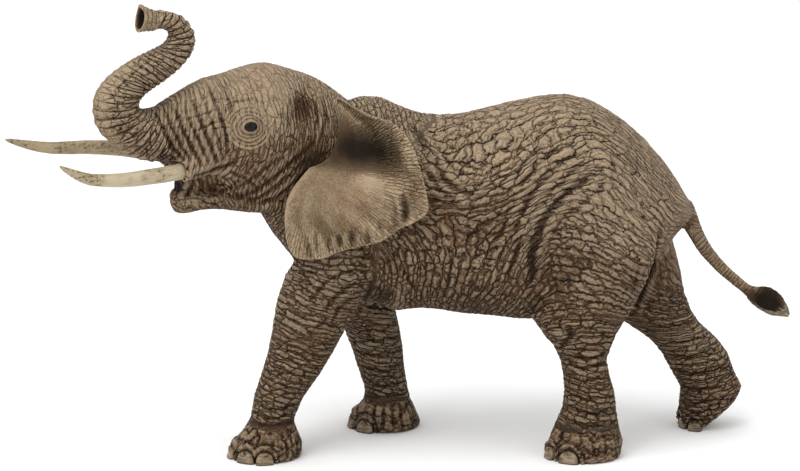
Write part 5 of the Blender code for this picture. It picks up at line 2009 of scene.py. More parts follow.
HEAD_FOLDS = head_folds((
    (((173, 104), (182, 128), (192, 148), (203, 168)), 0.72, 0.52),
    (((192, 97), (201, 122), (211, 147), (217, 163)), 0.80, 0.52),
    (((208, 86), (219, 112), (227, 136), (228, 156)), 0.70, 0.48),
    (((155, 110), (162, 128), (172, 148), (186, 163)), 0.60, 0.50),
    (((182, 100), (191, 124), (202, 148), (210, 166)), 0.38, 0.42),
    (((200, 92), (210, 116), (219, 140), (222, 158)), 0.36, 0.40),
    (((163, 107), (172, 128), (182, 148), (194, 165)), 0.36, 0.42),
    (((222, 84), (230, 104), (233, 120)), 0.30, 0.40),
    (((183, 114), (200, 106), (214, 100)), 0.24, 0.36),
    (((178, 122), (204, 114), (222, 108)), 0.28, 0.36),
    (((190, 134), (212, 124), (226, 120)), 0.34, 0.38),
    (((176, 105), (198, 99), (216, 94)), 0.14, 0.38),
    (((186, 182), (196, 176), (209, 172), (225, 167), (238, 160)), 0.62, 0.65),
    (((178, 176), (184, 178), (196, 172), (212, 167)), -0.30, 0.80),
    (((190, 179), (187, 186), (182, 194), (178, 203)), -0.50, 0.70),
    (((194, 183), (190, 191), (186, 199)), 0.35, 0.60),
    (((228, 202), (256, 192), (277, 176), (298, 157), (317, 140)), 0.42, 0.75),
    (((244, 204), (268, 193), (288, 176), (308, 158)), 0.34, 0.70),
    (((222, 192), (246, 184), (266, 168), (286, 154)), 0.28, 0.60),
    (((206, 198), (226, 190), (246, 176)), 0.24, 0.55),
    (((252, 207), (276, 198), (296, 182), (312, 166)), 0.34, 0.70),
    (((230, 172), (248, 180), (262, 192)), 0.22, 0.50),
    (((214, 178), (230, 188), (242, 200)), 0.22, 0.50),
    (((250, 166), (264, 178), (276, 190)), 0.20, 0.50),
    (((305, 84), (305, 102), (300, 122)), 0.42, 2.20),
    (((322, 96), (327, 118), (322, 142)), 0.28, 0.60),
    (((168, 47), (150, 60), (135, 72), (122, 84), (112, 96), (106, 108)), 0.30, 0.36),
    (((314, 98), (318, 118), (314, 140)), 0.24, 0.55),
    (((290, 96), (288, 114), (290, 128)), 0.18, 0.50),
    (((225, 112), (236, 102), (252, 99), (266, 104)), 0.22, 0.50),
    (((214, 82), (226, 78), (238, 76)), 0.45, 2.40),
))
FOLDS = HIP_FOLDS + SHOULDER_FOLDS + LEG_FOLDS + FAR_LEG_FOLDS + FOOT_FOLDS + HEAD_FOLDS

# Soft patches of paint: reddish and olive tints, paler and darker patches, and among them painted light and
# painted shade.
TINTS_AND_LIGHT = (
    Daub((255, 170), 26, -0.06, 0.50, 0.0, Half.HEAD),
    Daub((236, 154), 11, -0.10, 0.45, 0.0, Half.HEAD),
    # Painted shade in the temple's hollow.
    Daub((302, 107), 15, -0.70, 0.15, 0.0, Half.HEAD),
    # Paler forehead and brow: dry brushing, partly painted light on the top of the head.
    Daub((262, 76), 30, 0.75, 0.0, 0.0, Half.HEAD),
    Daub((200, 98), 22, 0.36, 0.0, 0.0, Half.HEAD),
    Daub((275, 122), 12, 0.18, 0.0, 0.10, Half.HEAD),
    # The mouth: reddish paint, darkened inside with painted shade.
    Daub((178, 187), 6, -1.00, 0.90, 0.0, Half.HEAD),
    Daub((187, 179), 6, 0.45, 0.25, 0.0, Half.HEAD),
    Daub((215, 192), 16, -0.12, 0.25, 0.0, Half.HEAD),
    # Painted shade on the neck behind the cheek.
    Daub((312, 164), 19, -0.75, 0.30, 0.0, Half.HEAD),
    Daub((118, 150), 10, -0.08, 0.35, 0.0, Half.HEAD),
    Daub((106, 96), 9, 0.0, 0.30, 0.0, Half.HEAD),
    Daub((440, 212), 14, -0.10, 0.50, 0.0),
    Daub((392, 262), 16, -0.12, 0.30, 0.0),
    Daub((470, 182), 20, 0.08, 0.0, 0.20),
    Daub((480, 270), 24, 0.10, 0.0, 0.25),
    # Paler back and hip: dry brushing, partly painted light on top.
    Daub((520, 116), 40, 0.10, 0.0, 0.0),
    Daub((600, 158), 18, 0.22, 0.0, 0.0),
    # Painted shade in the hollow between flank and thigh.
    Daub((540, 270), 16, -0.22, 0.10, 0.0),
    # Painted shade in the armpit.
    Daub((381, 296), 13, -0.35, 0.0, 0.10),
    # Paler rump: dry brushing, partly painted light where the light falls.
    Daub((632, 200), 50, 0.58, 0.0, 0.0),
    # Paler back: dry brushing, partly painted light on top.
    Daub((540, 140), 40, 0.10, 0.0, 0.0),
    Daub((600, 240), 26, 0.05, 0.15, 0.0),
    Daub((590, 443), 16, -0.04, 0.65, 0.0),
    Daub((265, 445), 16, -0.10, 0.25, 0.0),
    Daub((345, 102), 12, 0.10, 0.0, 0.25),
    # Painted shade under the belly.
    Daub((470, 306), 30, -0.15, 0.0, 0.0),
    Daub((655, 270), 14, -0.20, 0.0, 0.15),
    # Paler far legs: painted light.
    Daub((380, 352), 30, 0.16, 0.10, 0.0),
    Daub((690, 350), 34, 0.14, 0.10, 0.0),
    Daub((480, 240), 40, -0.14, 0.15, 0.0),
    Daub((768, 301), 14, -1.6, 0.0, 0.0),
)


EAR_FOLDS: tuple[tuple[Pixels, float, float], ...] = (
    (((402, 194), (405, 208), (406, 228)), 0.95, 0.85),
    (((398, 202), (400, 214), (400, 226)), -0.40, 0.60),
    (((338, 234), (339, 248)), 0.75, 0.75),
    (((351, 230), (352, 248)), 0.75, 0.70),
    (((366, 228), (368, 244)), 0.55, 0.70),
    (((328, 238), (329, 252)), 0.55, 0.65),
    (((315, 230), (316, 254)), 0.45, 0.65),
    (((307, 242), (309, 257)), 0.40, 0.60),
    (((345, 236), (345, 250)), -0.35, 0.70),
    (((333, 238), (334, 252)), -0.30, 0.60),
    (((359, 232), (360, 246)), -0.30, 0.70),
    (((378, 224), (384, 240)), 0.30, 0.70),
    (((390, 214), (396, 230)), 0.30, 0.60),
    (((385, 190), (394, 204)), 0.30, 1.00),
    (((356, 176), (372, 180), (386, 188)), -0.35, 1.60),
    (((345, 184), (352, 204), (356, 222)), -0.22, 1.50),
    (((322, 190), (318, 214), (322, 236)), 0.25, 1.50),
    (((296, 204), (299, 226), (306, 246)), 0.20, 1.00),
)

# Where paler and darker spots lie on the ear: pixel, millimetres along it and up it, and how pale. The dark
# spots in the hollow under the rolled top rim are painted shade; the pale ones on the rim and on the bulge
# below it are partly painted light.
EAR_SPOTS: tuple[tuple[tuple[float, float], float, float, float], ...] = (
    ((375, 149), 9.0, 3.6, -1.1), ((348, 153), 8.0, 4.0, -1.1), ((326, 160), 6.0, 5.0, -0.7),
    ((372, 184), 6.0, 3.0, 0.46), ((404, 212), 1.6, 7.0, -0.4), ((388, 120), 8.0, 2.8, 1.05),
    ((362, 108), 7.0, 2.6, 0.85), ((345, 238), 14.0, 3.0, -0.25), ((413, 150), 2.5, 7.0, 0.45),
)


@dataclass
class Ear:
    """One ear, thin and leathery, its wrinkles fanned out from the root.

    Args:
        node: Its CAD node.
        voxel: Size of a quad.
        rounds: How far the solid's facets are evened.
        root: The pixel that the wrinkles fan out from on the left ear.
        fan: Wrinkles to the radian.
        step: Millimetres between the lines across them.
        shade: How pale the ear is between its spots.
        thick: Millimetres that a spot reaches through the ear.
    """

    node: str
    voxel: float = 0.00028
    rounds: int = 10
    root: tuple[float, float] = (318, 166)
    fan: float = 26.0
    step: float = 2.4
    shade: float = -0.14
    thick: float = 6.0

    def frame(self, shell: Shell) -> tuple[Array, Array]:
        """The middle of an ear's skin and its own axes: along, up and outward."""
        middle = shell.points.mean(0)
        _, _, axes = np.linalg.svd(shell.points - middle, full_matrices=False)
        side = 1.0 if self.node == "left_ear" else -1.0
        outward = np.array(HEAD_MIDDLE.outward) * side
        up = np.array([0.0, 0.0, 1.0])
        facing = axes[2] * np.sign(axes[2] @ outward)
        tall = max(axes[:2], key=lambda axis: abs(axis @ up))
        tall = tall * np.sign(tall @ up)
        back = np.cross(tall, facing) * side
        return middle, np.stack([back, tall, facing])

    def build(self, pattern: "Ear", picture: Picture, finish: SkinFinish) -> bpy.types.Object:
        """Makes the ear.

        Args:
            pattern: The left ear, whose lines both ears follow.
            picture: The picture that they were read from.
            finish: The paint.

        Returns:
            The piece.
        """
        shell = remesh((self.node,), self.voxel, self.rounds, 0.0)
        middle, axes = self.frame(shell)
        own = (shell.points - middle) @ axes.T
        model = remesh((pattern.node,), 0.0008, 2, 0.0)
        model_middle, model_axes = pattern.frame(model)
        sculptor = Sculptor(picture, model)

        def local(line: Array) -> Array:
            """Places on the left ear, along its own axes."""
            return (line - model_middle) @ model_axes.T

        normals = shell.normals()
        outer = ease(0.0, 0.5, normals @ axes[2])
        moved = np.zeros(len(own))
        for pixels, depth, width in EAR_FOLDS:
            line = local(sculptor.trace(pixels))
            if len(line) > 1:
                sculptor.press_line(own, moved, line, Fold(pixels, depth, width))
        shell.points = shell.points - normals * (moved * outer)[:, None]
        root = local(np.array([picture.on_plane(*self.root, model_middle, model_axes[2])]))[0]
        away = own[:, :2] - root[:2]
        radius, angle = np.linalg.norm(away, axis=1), np.arctan2(away[:, 1], away[:, 0] + 1e-9)
        angle = np.where(angle > 2.4, angle - 2 * math.pi, angle)
        rim = ease(0.012, 0.024, radius)
        upper = ease(0.1, 0.9, angle)
        flat = ease(-0.2, 0.4, np.abs(normals @ axes[2]))
        amount = (0.25 + 0.50 * rim + 0.35 * upper) * (0.35 + 0.65 * flat)
        flow = np.stack([angle * self.fan, radius / (self.step * MM), amount], 1)
        calm = np.full_like(flow, 0.5)
        material = finish.make()
        shell = HideRelief(0.00012, 0.00008).raise_pads(shell, flow, calm, material)
        light = np.full(len(own), self.shade)
        # Spots on the ear: painted shade in the hollow under the rim, and paler paint, partly painted light,
        # on the rim and the bulge.
        for pixel, wide, tall, tone in EAR_SPOTS:
            spot = local(sculptor.trace((pixel, pixel)))
            if len(spot):
                gap = (own - spot[0]) / (np.array([wide, tall, self.thick]) * MM)
                light += tone * np.exp(-(gap**2).sum(1))
        warm = 0.35 * np.exp(-(((own[:, :2] - root[:2] - [0.012, -0.006]) / 0.006) ** 2).sum(1))
        daub = np.stack([light, warm, np.full(len(own), 0.05)], 1)
        values = {"flow": flow, "calm": calm, "wear": Hide.wear(shell), "daub": daub}
        return dress(self.node + "_leather", shell.points, shell.triangles(), values, material)


@dataclass(frozen=True)
class IvoryFinish:
    """Painted ivory: cream with a brown wash in fine cracks and specks.

    Args:
        name: The material's name.
        pale: The paler ivory.
        cream: The darker ivory.
        stain: The wash in the cracks and specks.
        bump: Millimetres that the cracks go in.
    """

    name: str = "ivory_paint"
    pale: tuple[float, float, float] = (178, 165, 138)
    cream: tuple[float, float, float] = (150, 133, 103)
    stain: tuple[float, float, float] = (64, 48, 30)
    bump: float = 0.08

    def make(self) -> bpy.types.Material:
        """The material."""
        material, wires, shader, place = new_paint(self.name)
        length = wires.node("ShaderNodeAttribute", attribute_name="length").outputs["Vector"]
        near = wires.split(length)[2]
        long_place = wires.vector("MULTIPLY", length, (160.0, 3.0, 0.0))
        streak = wires.noise(long_place, 1.0, 3.0, 0.6)
        speck = wires.noise(place, 1500.0, 3.0, 0.70)
        pits = wires.noise(wires.vector("ADD", place, (0.4, 0.1, 0.9)), 2200.0, 2.0, 0.5)
        cloud = wires.noise(place, 120.0, 2.0)

        share = wires.step(wires.math("ADD", cloud, wires.math("MULTIPLY", streak, 0.6)), 0.55, 1.05)
        ground = wires.mix(share, paint(*self.pale), paint(*self.cream))
        dots = wires.math("MULTIPLY", wires.step(speck, 0.53, 0.59), wires.step(cloud, 0.38, 0.55))
        lines = wires.math("MULTIPLY", wires.step(streak, 0.60, 0.70), 0.40)
        foot = wires.math("MULTIPLY", wires.step(near, 0.0, 0.006, 0.55, 0.0), wires.step(speck, 0.30, 0.55))
        darkening = wires.math("MAXIMUM", wires.math("MAXIMUM", wires.math("MULTIPLY", dots, 0.80), lines), foot)
        wires.feed(shader.inputs["Base Color"], wires.mix(darkening, ground, paint(*self.stain)))
        wires.feed(shader.inputs["Roughness"], wires.step(darkening, 0.0, 1.0, 0.42, 0.62))
        shader.inputs["Specular IOR Level"].default_value = 0.4
        add_bump(wires, shader, wires.math("SUBTRACT", wires.math("MULTIPLY", pits, 0.35), darkening), self.bump)
        return material


@dataclass
class Tusk:
    """One tusk, curved and tapering.

    Args:
        node: Its CAD node.
        voxel: Size of a quad.
        rounds: How far the solid's facets are evened.
    """

    node: str
    voxel: float = 0.00025
    rounds: int = 8

    def build(self, finish: IvoryFinish) -> bpy.types.Object:
        """Makes the tusk with its length told at every corner."""
        shell = remesh((self.node,), self.voxel, self.rounds, 0.0)
        away = shell.points - shell.points.mean(0)
        _, _, axes = np.linalg.svd(away[::7], full_matrices=False)
        along = away @ (axes[0] * np.sign(axes[0][0]))
        side, rise = (away @ axis - np.polyval(np.polyfit(along, away @ axis, 3), along) for axis in axes[1:])
        past_lip = np.clip(along.max() - along - 0.004, 0.0, 1.0)
        length = np.stack([along, np.sin(np.arctan2(side, rise)), past_lip], 1)
        values = {"length": length}
        return dress(self.node + "_ivory", shell.points, shell.triangles(), values, finish.make())


@dataclass(frozen=True)
class GlossFinish:
    """A dark glossy finish, for the eyes.

    Args:
        name: The material's name.
        tone: Its darker colour.
        ring: Its paler colour.
    """

    name: str = "eye_gloss"
    tone: tuple[float, float, float] = (8, 5, 3)
    ring: tuple[float, float, float] = (18, 11, 7)

    def make(self) -> bpy.types.Material:
        """The material."""
        material, wires, shader, place = new_paint(self.name)
        tone = wires.mix(wires.noise(place, 900.0, 2.0), paint(*self.tone), paint(*self.ring))
        wires.feed(shader.inputs["Base Color"], tone)
        shader.inputs["Roughness"].default_value = 0.07
        shader.inputs["Specular IOR Level"].default_value = 0.20
        return material


@dataclass
class Eye:
    """One eye: a glossy ball, and the ringed lids round it.

    Args:
        name: The eye's name.
        side: 1 on the left and -1 on the right.
        pixel: Where the left eye is seen.
        ball: Radius of the ball in millimetres.
        reach: Radius of the ringed skin in millimetres.
        rings: Rings of corners in the skin.
        spokes: Corners in a ring.
        opening: Half of the lids' opening along and up, in millimetres.
        creases: Millimetres past the lid's edge, depth and width of each crease round the eye.
    """

    name: str
    side: int
    pixel: tuple[float, float] = (251.0, 127.0)
    ball: float = 2.1
    reach: float = 6.6
    rings: int = 72
    spokes: int = 128
    opening: tuple[float, float] = (1.62, 1.12)
    creases: tuple[tuple[float, float, float], ...] = (
        (0.95, 0.34, 0.20), (1.75, 0.32, 0.20), (2.70, 0.30, 0.22), (3.60, 0.24, 0.22),
    )

    def seat(self, hide: "Hide") -> tuple[Array, Array]:
        """The eye's place on the hide and its own axes: forward, up and outward."""
        left = hide.sculptor.trace((self.pixel, self.pixel))[0]
        spot = left if self.side > 0 else hide.sculptor.on_surface(HEAD_MIDDLE.mirror(left[None]))[0]
        steps = np.vstack([np.eye(3), -np.eye(3)]) * 0.003
        around = [hide.sculptor.tree.find_nearest(Vector(spot) + Vector(step))[1] for step in steps]
        outward = unit(np.mean([np.array(normal) for normal in around], axis=0))
        forward = np.array(HEAD_MIDDLE.forward)
        forward = unit(forward - (forward @ outward) * outward)
        up = np.cross(outward, forward) * self.side
        up = up * np.sign(up[2])
        return spot, np.stack([forward, up, outward])

    def profile(self, radius: Array, angle: Array) -> tuple[Array, Array]:
        """Height of the lids in millimetres, and how dark they are, by place round the eye."""
        wide = 1.0 / np.hypot(np.cos(angle) / self.opening[0], np.sin(angle) / self.opening[1])
        past = radius - wide
        rim = 0.42 * np.exp(-((past - 0.35) ** 2) / 0.30**2)
        ripple = np.zeros_like(radius)
        dark = np.exp(-(past**2) / 0.26**2)
        for place, depth, width in self.creases:
            wave = np.exp(-((past - place - 0.10 * np.sin(3 * angle + place * 2)) ** 2) / width**2)
            ripple -= depth * wave
            dark += 0.95 * depth / 0.34 * wave
        swell = 0.55 * np.exp(-((past - 0.9) ** 2) / 1.3**2)
        sunk = -1.5 * (1 - ease(-0.30, 0.10, past))
        fade = 1.0 - ease(self.reach - 1.6, self.reach - 0.3, radius)
        return (rim + ripple + swell) * fade + sunk, dark * fade

    def lids(self, hide: "Hide", material: bpy.types.Material) -> bpy.types.Object:
        """The ringed skin round the ball, laid over the head.

        Args:
            hide: The elephant's skin.
            material: Its paint.

        Returns:
            The piece.
        """
        spot, (forward, up, outward) = self.seat(hide)
        radius = np.linspace(0.0, 1.0, self.rings + 1)[1:] * self.reach
        angle = np.arange(self.spokes) / self.spokes * math.tau
        far, turn = np.meshgrid(radius, angle, indexing="ij")
        far, turn = far.ravel(), turn.ravel()
        flat = spot + (far * np.cos(turn) * MM)[:, None] * forward + (far * np.sin(turn) * MM)[:, None] * up
        starts, way = flat + outward * 0.006, Vector(-outward)
        ground = np.empty_like(flat)
        normals = np.empty_like(flat)
        for k, start in enumerate(starts.tolist()):
            hit = hide.skin_tree.ray_cast(Vector(start), way)
            ground[k] = hit[0] if hit[0] is not None else flat[k]
            normals[k] = hit[1] if hit[0] is not None else outward
        height, dark = self.profile(far, turn)
        edge = ease(self.reach - 1.4, self.reach, far)
        top = ground + outward * ((height + 0.10 - 0.45 * edge) * MM)[:, None]
        below = ground - outward * ((0.9 + 0.6 * (1 - far / self.reach)) * MM)[:, None]
        count = self.rings * self.spokes
        below = below.reshape(self.rings, self.spokes, 3)[::-1].reshape(-1, 3)
        points = np.concatenate([top, below, [top[: self.spokes].mean(0), below[-self.spokes :].mean(0)]])
        faces = turned_out(points, tube_faces(2 * self.rings, self.spokes))
        flow = hide.carry(points)[:, :3]
        flow[:, 2] *= 0.75
        wear = np.zeros((len(points), 3))
        wear[:count, 0] = np.clip(dark, 0, 1)
        wear[:count, 1] = np.clip(height, 0, 1) * 0.5
        daub = np.tile([0.30, 0.10, 0.0], (len(points), 1))
        values = {"flow": flow, "calm": np.zeros_like(flow), "wear": wear, "daub": daub}
        return dress(self.name + "_lids", points, faces, values, material)

    def eyeball(self, hide: "Hide", material: bpy.types.Material) -> bpy.types.Object:
        """The glossy ball behind the lids."""
        spot, (forward, up, outward) = self.seat(hide)
        rows, cols = 24, 40
        tilt = np.linspace(0.0, math.pi, rows + 1)[1:-1]
        turn = np.arange(cols) / cols * math.tau
        a, b = np.meshgrid(tilt, turn, indexing="ij")
        ways = np.stack([np.sin(a) * np.cos(b), np.sin(a) * np.sin(b), np.cos(a)], -1).reshape(-1, 3)
        ways = np.concatenate([ways, [[0, 0, 1.0], [0, 0, -1.0]]])
        shape = ways * np.array([1.0, 1.0, 0.9]) * self.ball * MM
        points = spot - outward * (self.ball * 0.9 - 0.42) * MM + shape @ np.stack([forward, up, outward])
        faces = turned_out(points, tube_faces(rows - 1, cols))
        return dress(self.name + "_ball", points, faces, {}, material)


@dataclass
class Tuft:
    """The brush at the tail's end: dark strands that a geometry tree sweeps along their curves.

    Args:
        strands: How many there are.
        thick: Radius of a strand at its root in millimetres.
        stray: Millimetres that a strand's corners stray.
        seed: The seed of what is random.
        line: Its middle line in the picture.
        widths: Its radius at the line's corners in millimetres.
    """

    strands: int = 110
    thick: float = 0.30
    stray: float = 0.12
    seed: int = 7
    line: Pixels = ((749, 290), (758, 296), (767, 301), (777, 307), (785, 312), (789, 316))
    widths: tuple[float, ...] = (1.5, 2.3, 2.6, 2.3, 1.3, 0.3)

    def tree(self) -> bpy.types.NodeTree:
        """The geometry tree that gives every strand its body."""
        inputs = {
            "Geometry": GEOMETRY, "Radius": FLOAT, "Roughness": FLOAT, "Seed": "NodeSocketInt",
            "Paint": MATERIAL,
        }
        wires, given, wanted = group_tree("tail_strands", "GeometryNodeTree", inputs, {"Geometry": GEOMETRY})
        curves = wires.node("GeometryNodeMeshToCurve")
        wires.feed(curves.inputs["Mesh"], given["Geometry"])
        stray = wires.node("FunctionNodeRandomValue", data_type="FLOAT_VECTOR")
        stray.inputs[0].default_value, stray.inputs[1].default_value = (-1, -1, -1), (1, 1, 1)
        wires.feed(stray.inputs["Seed"], given["Seed"])
        move = wires.node("GeometryNodeSetPosition")
        wires.feed(move.inputs["Geometry"], curves.outputs["Curve"])
        wires.feed(move.inputs["Offset"], wires.vector("SCALE", stray.outputs[0], scale=given["Roughness"]))
        along = wires.node("GeometryNodeSplineParameter").outputs["Factor"]
        taper = wires.math("MULTIPLY", wires.step(along, 0.55, 1.0, 1.0, 0.25), given["Radius"])
        radius = wires.node("GeometryNodeSetCurveRadius")
        wires.feed(radius.inputs["Curve"], move.outputs["Geometry"])
        wires.feed(radius.inputs["Radius"], taper)
        ring = wires.node("GeometryNodeCurvePrimitiveCircle")
        ring.inputs["Resolution"].default_value = 5
        ring.inputs["Radius"].default_value = 1.0
        body = wires.node("GeometryNodeCurveToMesh")
        wires.feed(body.inputs["Curve"], radius.outputs["Curve"])
        wires.feed(body.inputs["Profile Curve"], ring.outputs["Curve"])
        if "Scale" in body.inputs:
            wires.feed(body.inputs["Scale"], taper)
        body.inputs["Fill Caps"].default_value = True
        finish_tree(wires, body.outputs["Mesh"], given["Paint"], wanted["Geometry"])
        return wires.tree

    def build(self, picture: Picture, finish: SkinFinish) -> bpy.types.Object:
        """Makes the tuft.

        Args:
            picture: The picture that its line was read from.
            finish: The strands' paint.

        Returns:
            The piece.
        """
        random = np.random.default_rng(self.seed)
        point, normal = np.array(BODY_MIDDLE.point), np.array(BODY_MIDDLE.outward)
        line = np.array([picture.on_plane(x, y, point, normal) for x, y in self.line])
        ahead = unit(line[-1] - line[0])
        side = unit(np.cross(ahead, normal))
        marks = np.linspace(0.0, 1.0, len(line))
        points, edges = [], []
        for _ in range(self.strands):
            turn = random.uniform(0, math.tau)
            start, end = random.uniform(0.0, 0.35), random.uniform(0.72, 1.0)
            twist, swell = random.uniform(-0.5, 0.5), random.uniform(0.82, 1.04)
            first = len(points)
            for share in np.linspace(start, end, 7):
                middle = np.array([np.interp(share, marks, line[:, axis]) for axis in range(3)])
                radius = np.interp(share, marks, self.widths) * MM * swell
                angle = turn + twist * share
                points.append(middle + radius * (math.cos(angle) * side + 0.85 * math.sin(angle) * normal))
            edges += [(k, k + 1) for k in range(first, first + 6)]
        mesh = bpy.data.meshes.new("strands")
        mesh.from_pydata([tuple(point) for point in points], edges, [])
        thing = add_object("tail_tuft", mesh)
        sizes = {"Radius": self.thick * MM, "Roughness": self.stray * MM, "Seed": self.seed}
        run_tree(thing, self.tree(), {**sizes, "Paint": finish.make()})
        result = evaluated_mesh(thing)
        bpy.data.objects.remove(thing)
        result.shade_smooth()
        return add_object("tail_tuft", result)


@dataclass
class TrunkTip:
    """The flared end of the trunk: a rim with a finger on top, and the nostrils inside, darkened with painted
    shade.

    Args:
        pixel: Where the end's middle is seen.
        rings: Millimetres ahead of the end and radius of each ring, from outside round the rim to inside.
        oval: How much taller than wide it is.
        finger: Millimetres that the finger on top stands out.
        lip: Millimetres that the lip below stands out.
        rim: Number of the ring on the rim; those after it are inside.
        spokes: Corners in a ring.
    """

    pixel: tuple[float, float] = (140.5, 18.8)
    rings: tuple[tuple[float, float], ...] = (
        (-5.2, 1.5), (-4.4, 2.05), (-3.7, 2.42), (-3.2, 2.40), (-2.6, 2.62), (-2.1, 2.56), (-1.5, 2.78),
        (-1.0, 2.78), (-0.5, 2.98), (-0.1, 3.02), (0.12, 2.88), (0.10, 2.64), (-0.15, 2.42), (-0.6, 2.22),
        (-1.2, 2.05), (-2.0, 1.90), (-2.8, 1.65), (-3.2, 1.20), (-3.3, 0.80), (-3.3, 0.40),
    )
    oval: float = 1.08
    finger: float = 0.8
    lip: float = 0.2
    rim: int = 10
    spokes: int = 72

    def build(self, picture: Picture, finish: SkinFinish) -> bpy.types.Object:
        """Makes the tip.

        Args:
            picture: The picture its place was read from.
            finish: The paint.

        Returns:
            The piece.
        """
        outward, line = np.array(HEAD_MIDDLE.outward), TrunkLine().places()
        ahead = unit(line[0] - line[2])
        up = np.cross(ahead, outward)
        up = up * np.sign(up[2])
        centre = picture.on_plane(*self.pixel, np.array(HEAD_MIDDLE.point), outward)
        turn = np.arange(self.spokes) / self.spokes * math.tau
        ring, angle = np.meshgrid(np.arange(len(self.rings)), turn, indexing="ij")
        far, radius = (np.array([pair[k] for pair in self.rings])[ring] for k in (0, 1))
        inner = ring > self.rim
        edge = np.exp(-((far + 0.1) ** 2) / 1.2**2)
        turns = ((angle - at + math.pi) % math.tau - math.pi for at in (math.pi / 2, 1.5 * math.pi))
        top, low = (np.exp(-(turn**2) / 0.70**2) for turn in turns)
        far = far + edge * (self.finger * top + self.lip * low)
        radius = radius * (1.0 + 0.10 * edge * (top + 0.5 * low) * ~inner)
        between = np.exp(-((radius * np.sin(angle) / 0.35) ** 2))
        far = far + np.where(inner & (radius < 1.7), between, 0.0)
        across, tall = radius * np.cos(angle), radius * np.sin(angle) * self.oval
        points = centre + (far[..., None] * ahead + across[..., None] * outward + tall[..., None] * up) * MM
        count = points.shape[0] * self.spokes
        points = np.concatenate([points.reshape(-1, 3), [points[0].mean(0)], [points[-1].mean(0)]])
        faces = turned_out(points, tube_faces(len(self.rings), self.spokes))
        ends = np.zeros(2)
        inside = np.append(ease(0.5, 4.0, ring.ravel() - float(self.rim)), [0.0, 1.0])
        rows, cells = np.append(far / 1.2, ends), np.append(angle * 1.4, ends)
        flow = np.stack([rows, cells, 1.0 - inside], 1)
        none = np.zeros(count + 2)
        # Inside the tip the wash and the paint turn dark: painted shade in the nostrils.
        wear = np.stack([inside, np.append(edge * ~inner * 0.5, ends), none], 1)
        daub = np.stack([0.20 - 1.2 * inside, 0.3 * inside, none], 1)
        values = {"flow": flow, "calm": np.full_like(flow, 0.8), "wear": wear, "daub": daub}
        return dress("trunk_tip", points, faces, values, finish.make())


@dataclass
class Studio:
    """The pale floor and the soft lights round the figure.

    Args:
        floor_size: Width of the floor in metres.
        floor_tone: Grey of the floor and the room.
        key: Watts of the large soft light above.
        aim: The place that the lamps look at.
        lamps: Place, width and share of the key's power of each lamp.
    """

    floor_size: float = 8.0
    floor_tone: float = 0.92
    key: float = 5.0
    aim: tuple[float, float, float] = (0.0, 0.0, 0.05)
    lamps: dict[str, tuple[tuple[float, float, float], float, float]] = field(default_factory=lambda: {
        "above": ((-0.25, -0.35, 0.95), 0.7, 1.0),
        "front": ((-0.9, -0.7, 0.45), 0.6, 0.25),
        "side": ((0.9, -0.6, 0.6), 0.6, 0.15),
        "spark": ((-0.45, -0.75, 0.45), 0.07, 0.12),
    })

    def build(self) -> None:
        """Makes the floor, the lights and the room's light."""
        half = self.floor_size / 2
        points = np.array([(-half, -half, 0.0), (half, -half, 0.0), (half, half, 0.0), (-half, half, 0.0)])
        floor = add_object("floor", make_mesh("floor", points - [0, 0, 0.00002], np.array([[0, 1, 2, 3]])))
        floor.data.materials.append(self.floor_finish())
        for name, (place, size, share) in self.lamps.items():
            self.light(name, place, size, self.key * share)
        world = bpy.data.worlds.new("room")
        world.use_nodes = True
        backdrop = world.node_tree.nodes["Background"]
        backdrop.inputs["Color"].default_value = (1.0, 1.0, 1.0, 1.0)
        backdrop.inputs["Strength"].default_value = 1.0
        bpy.context.scene.world = world

    def floor_finish(self) -> bpy.types.Material:
        """Plain matt white, very slightly uneven."""
        material, wires, shader, place = new_paint("floor_white")
        pale, dim = (*(self.floor_tone,) * 3, 1.0), (*(self.floor_tone - 0.01,) * 3, 1.0)
        wires.feed(shader.inputs["Base Color"], wires.mix(wires.noise(place, 3.0), pale, dim))
        shader.inputs["Roughness"].default_value = 0.9
        shader.inputs["Specular IOR Level"].default_value = 0.1
        return material

    def light(self, name: str, place: tuple[float, float, float], size: float, power: float) -> None:
        """One soft lamp that looks at the figure.

        Args:
            name: The lamp's name.
            place: Where it stands.
            size: Width of its panel.
            power: Its watts.
        """
        lamp = bpy.data.lights.new(name, "AREA")
        lamp.shape, lamp.size, lamp.energy = "DISK", size, power
        thing = bpy.data.objects.new(name, lamp)
        thing.location = place
        way = Vector(self.aim) - Vector(place)
        thing.rotation_euler = way.to_track_quat("-Z", "Y").to_euler()
        bpy.context.scene.collection.objects.link(thing)


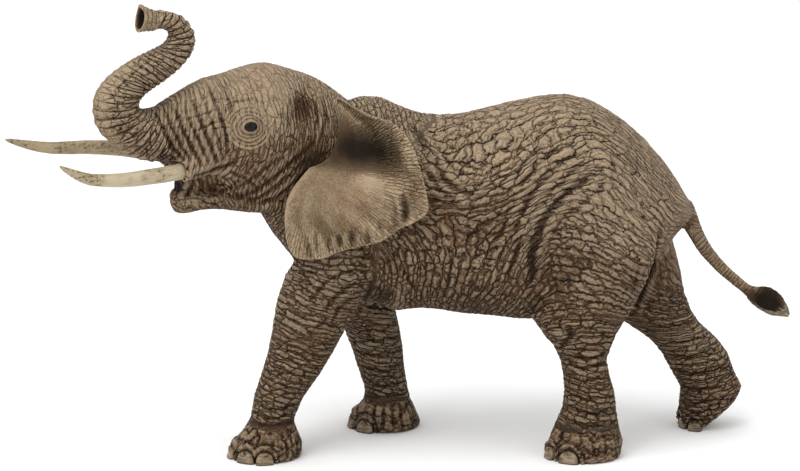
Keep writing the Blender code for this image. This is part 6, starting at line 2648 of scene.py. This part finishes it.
def seat(piece: bpy.types.Object, slot: str, *nodes: str) -> None:
    """Hides the CAD nodes that a piece stands for, hangs the piece on the root, and reports its triangles.

    Args:
        piece: The piece.
        slot: Not used.
        nodes: The CAD nodes that it stands for.
    """
    if nodes:
        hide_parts(*nodes)
    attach(piece, "root")
    LOG.info("%s: %d triangles", piece.name, len(piece.data.polygons))


EAR_FINISH = SkinFinish("ear_paint", ground=(118, 97, 72), brushed=(172, 151, 122), wash=0.9, bump=0.20)
TUFT_FINISH = SkinFinish(
    "tuft_paint", ground=(44, 33, 23), brushed=(156, 142, 121), warm=(44, 30, 20), olive=(46, 38, 28)
)
TUSK_FINISHES = {
    "left_tusk": IvoryFinish("left_tusk_paint"),
    # The far tusk takes darker ivory than the near one: painted shade.
    "right_tusk": IvoryFinish("right_tusk_paint", (150, 133, 104), (126, 108, 79)),
}


def main() -> None:
    """Builds the elephant's pieces in order and sets up the studio."""
    logging.basicConfig(level=logging.INFO, format="%(message)s")
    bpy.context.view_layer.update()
    picture = Picture()
    picture.make_camera()
    Studio().build()
    bpy.context.scene.view_settings.view_transform = "Standard"
    hide = Hide(picture)
    LOG.info("grain laid over %d corners", len(hide.flow))
    pieces = hide.build(("torso",), hide.broad, 8, SkinFinish("torso_paint"))
    pieces += hide.build(HIDE_NODES[1:], hide.fine, 8, SkinFinish("limb_paint"))
    for piece in pieces:
        node = piece.name.removesuffix("_hide")
        seat(piece, SLOTS[node], node)
    left, right = Ear("left_ear"), Ear("right_ear")
    for ear in (left, right):
        finish = replace(EAR_FINISH, name=ear.node + "_paint")
        seat(ear.build(left, picture, finish), "ear_skin", ear.node)
    for node, ivory in TUSK_FINISHES.items():
        seat(Tusk(node).build(ivory), "ivory", node)
    lid_paint, gloss = SkinFinish("lid_paint").make(), GlossFinish().make()
    for eye in (Eye("left_eye", 1), Eye("right_eye", -1)):
        seat(eye.lids(hide, lid_paint), "skin")
        seat(eye.eyeball(hide, gloss), "skin")
    seat(TrunkTip().build(picture, SkinFinish("tip_paint", bump=0.25)), "skin")
    seat(hide.nails.build(hide, NailFinish()), "leg_skin")
    seat(Tuft().build(picture, TUFT_FINISH), "tail_skin")


if __name__ == "__main__":
    main()
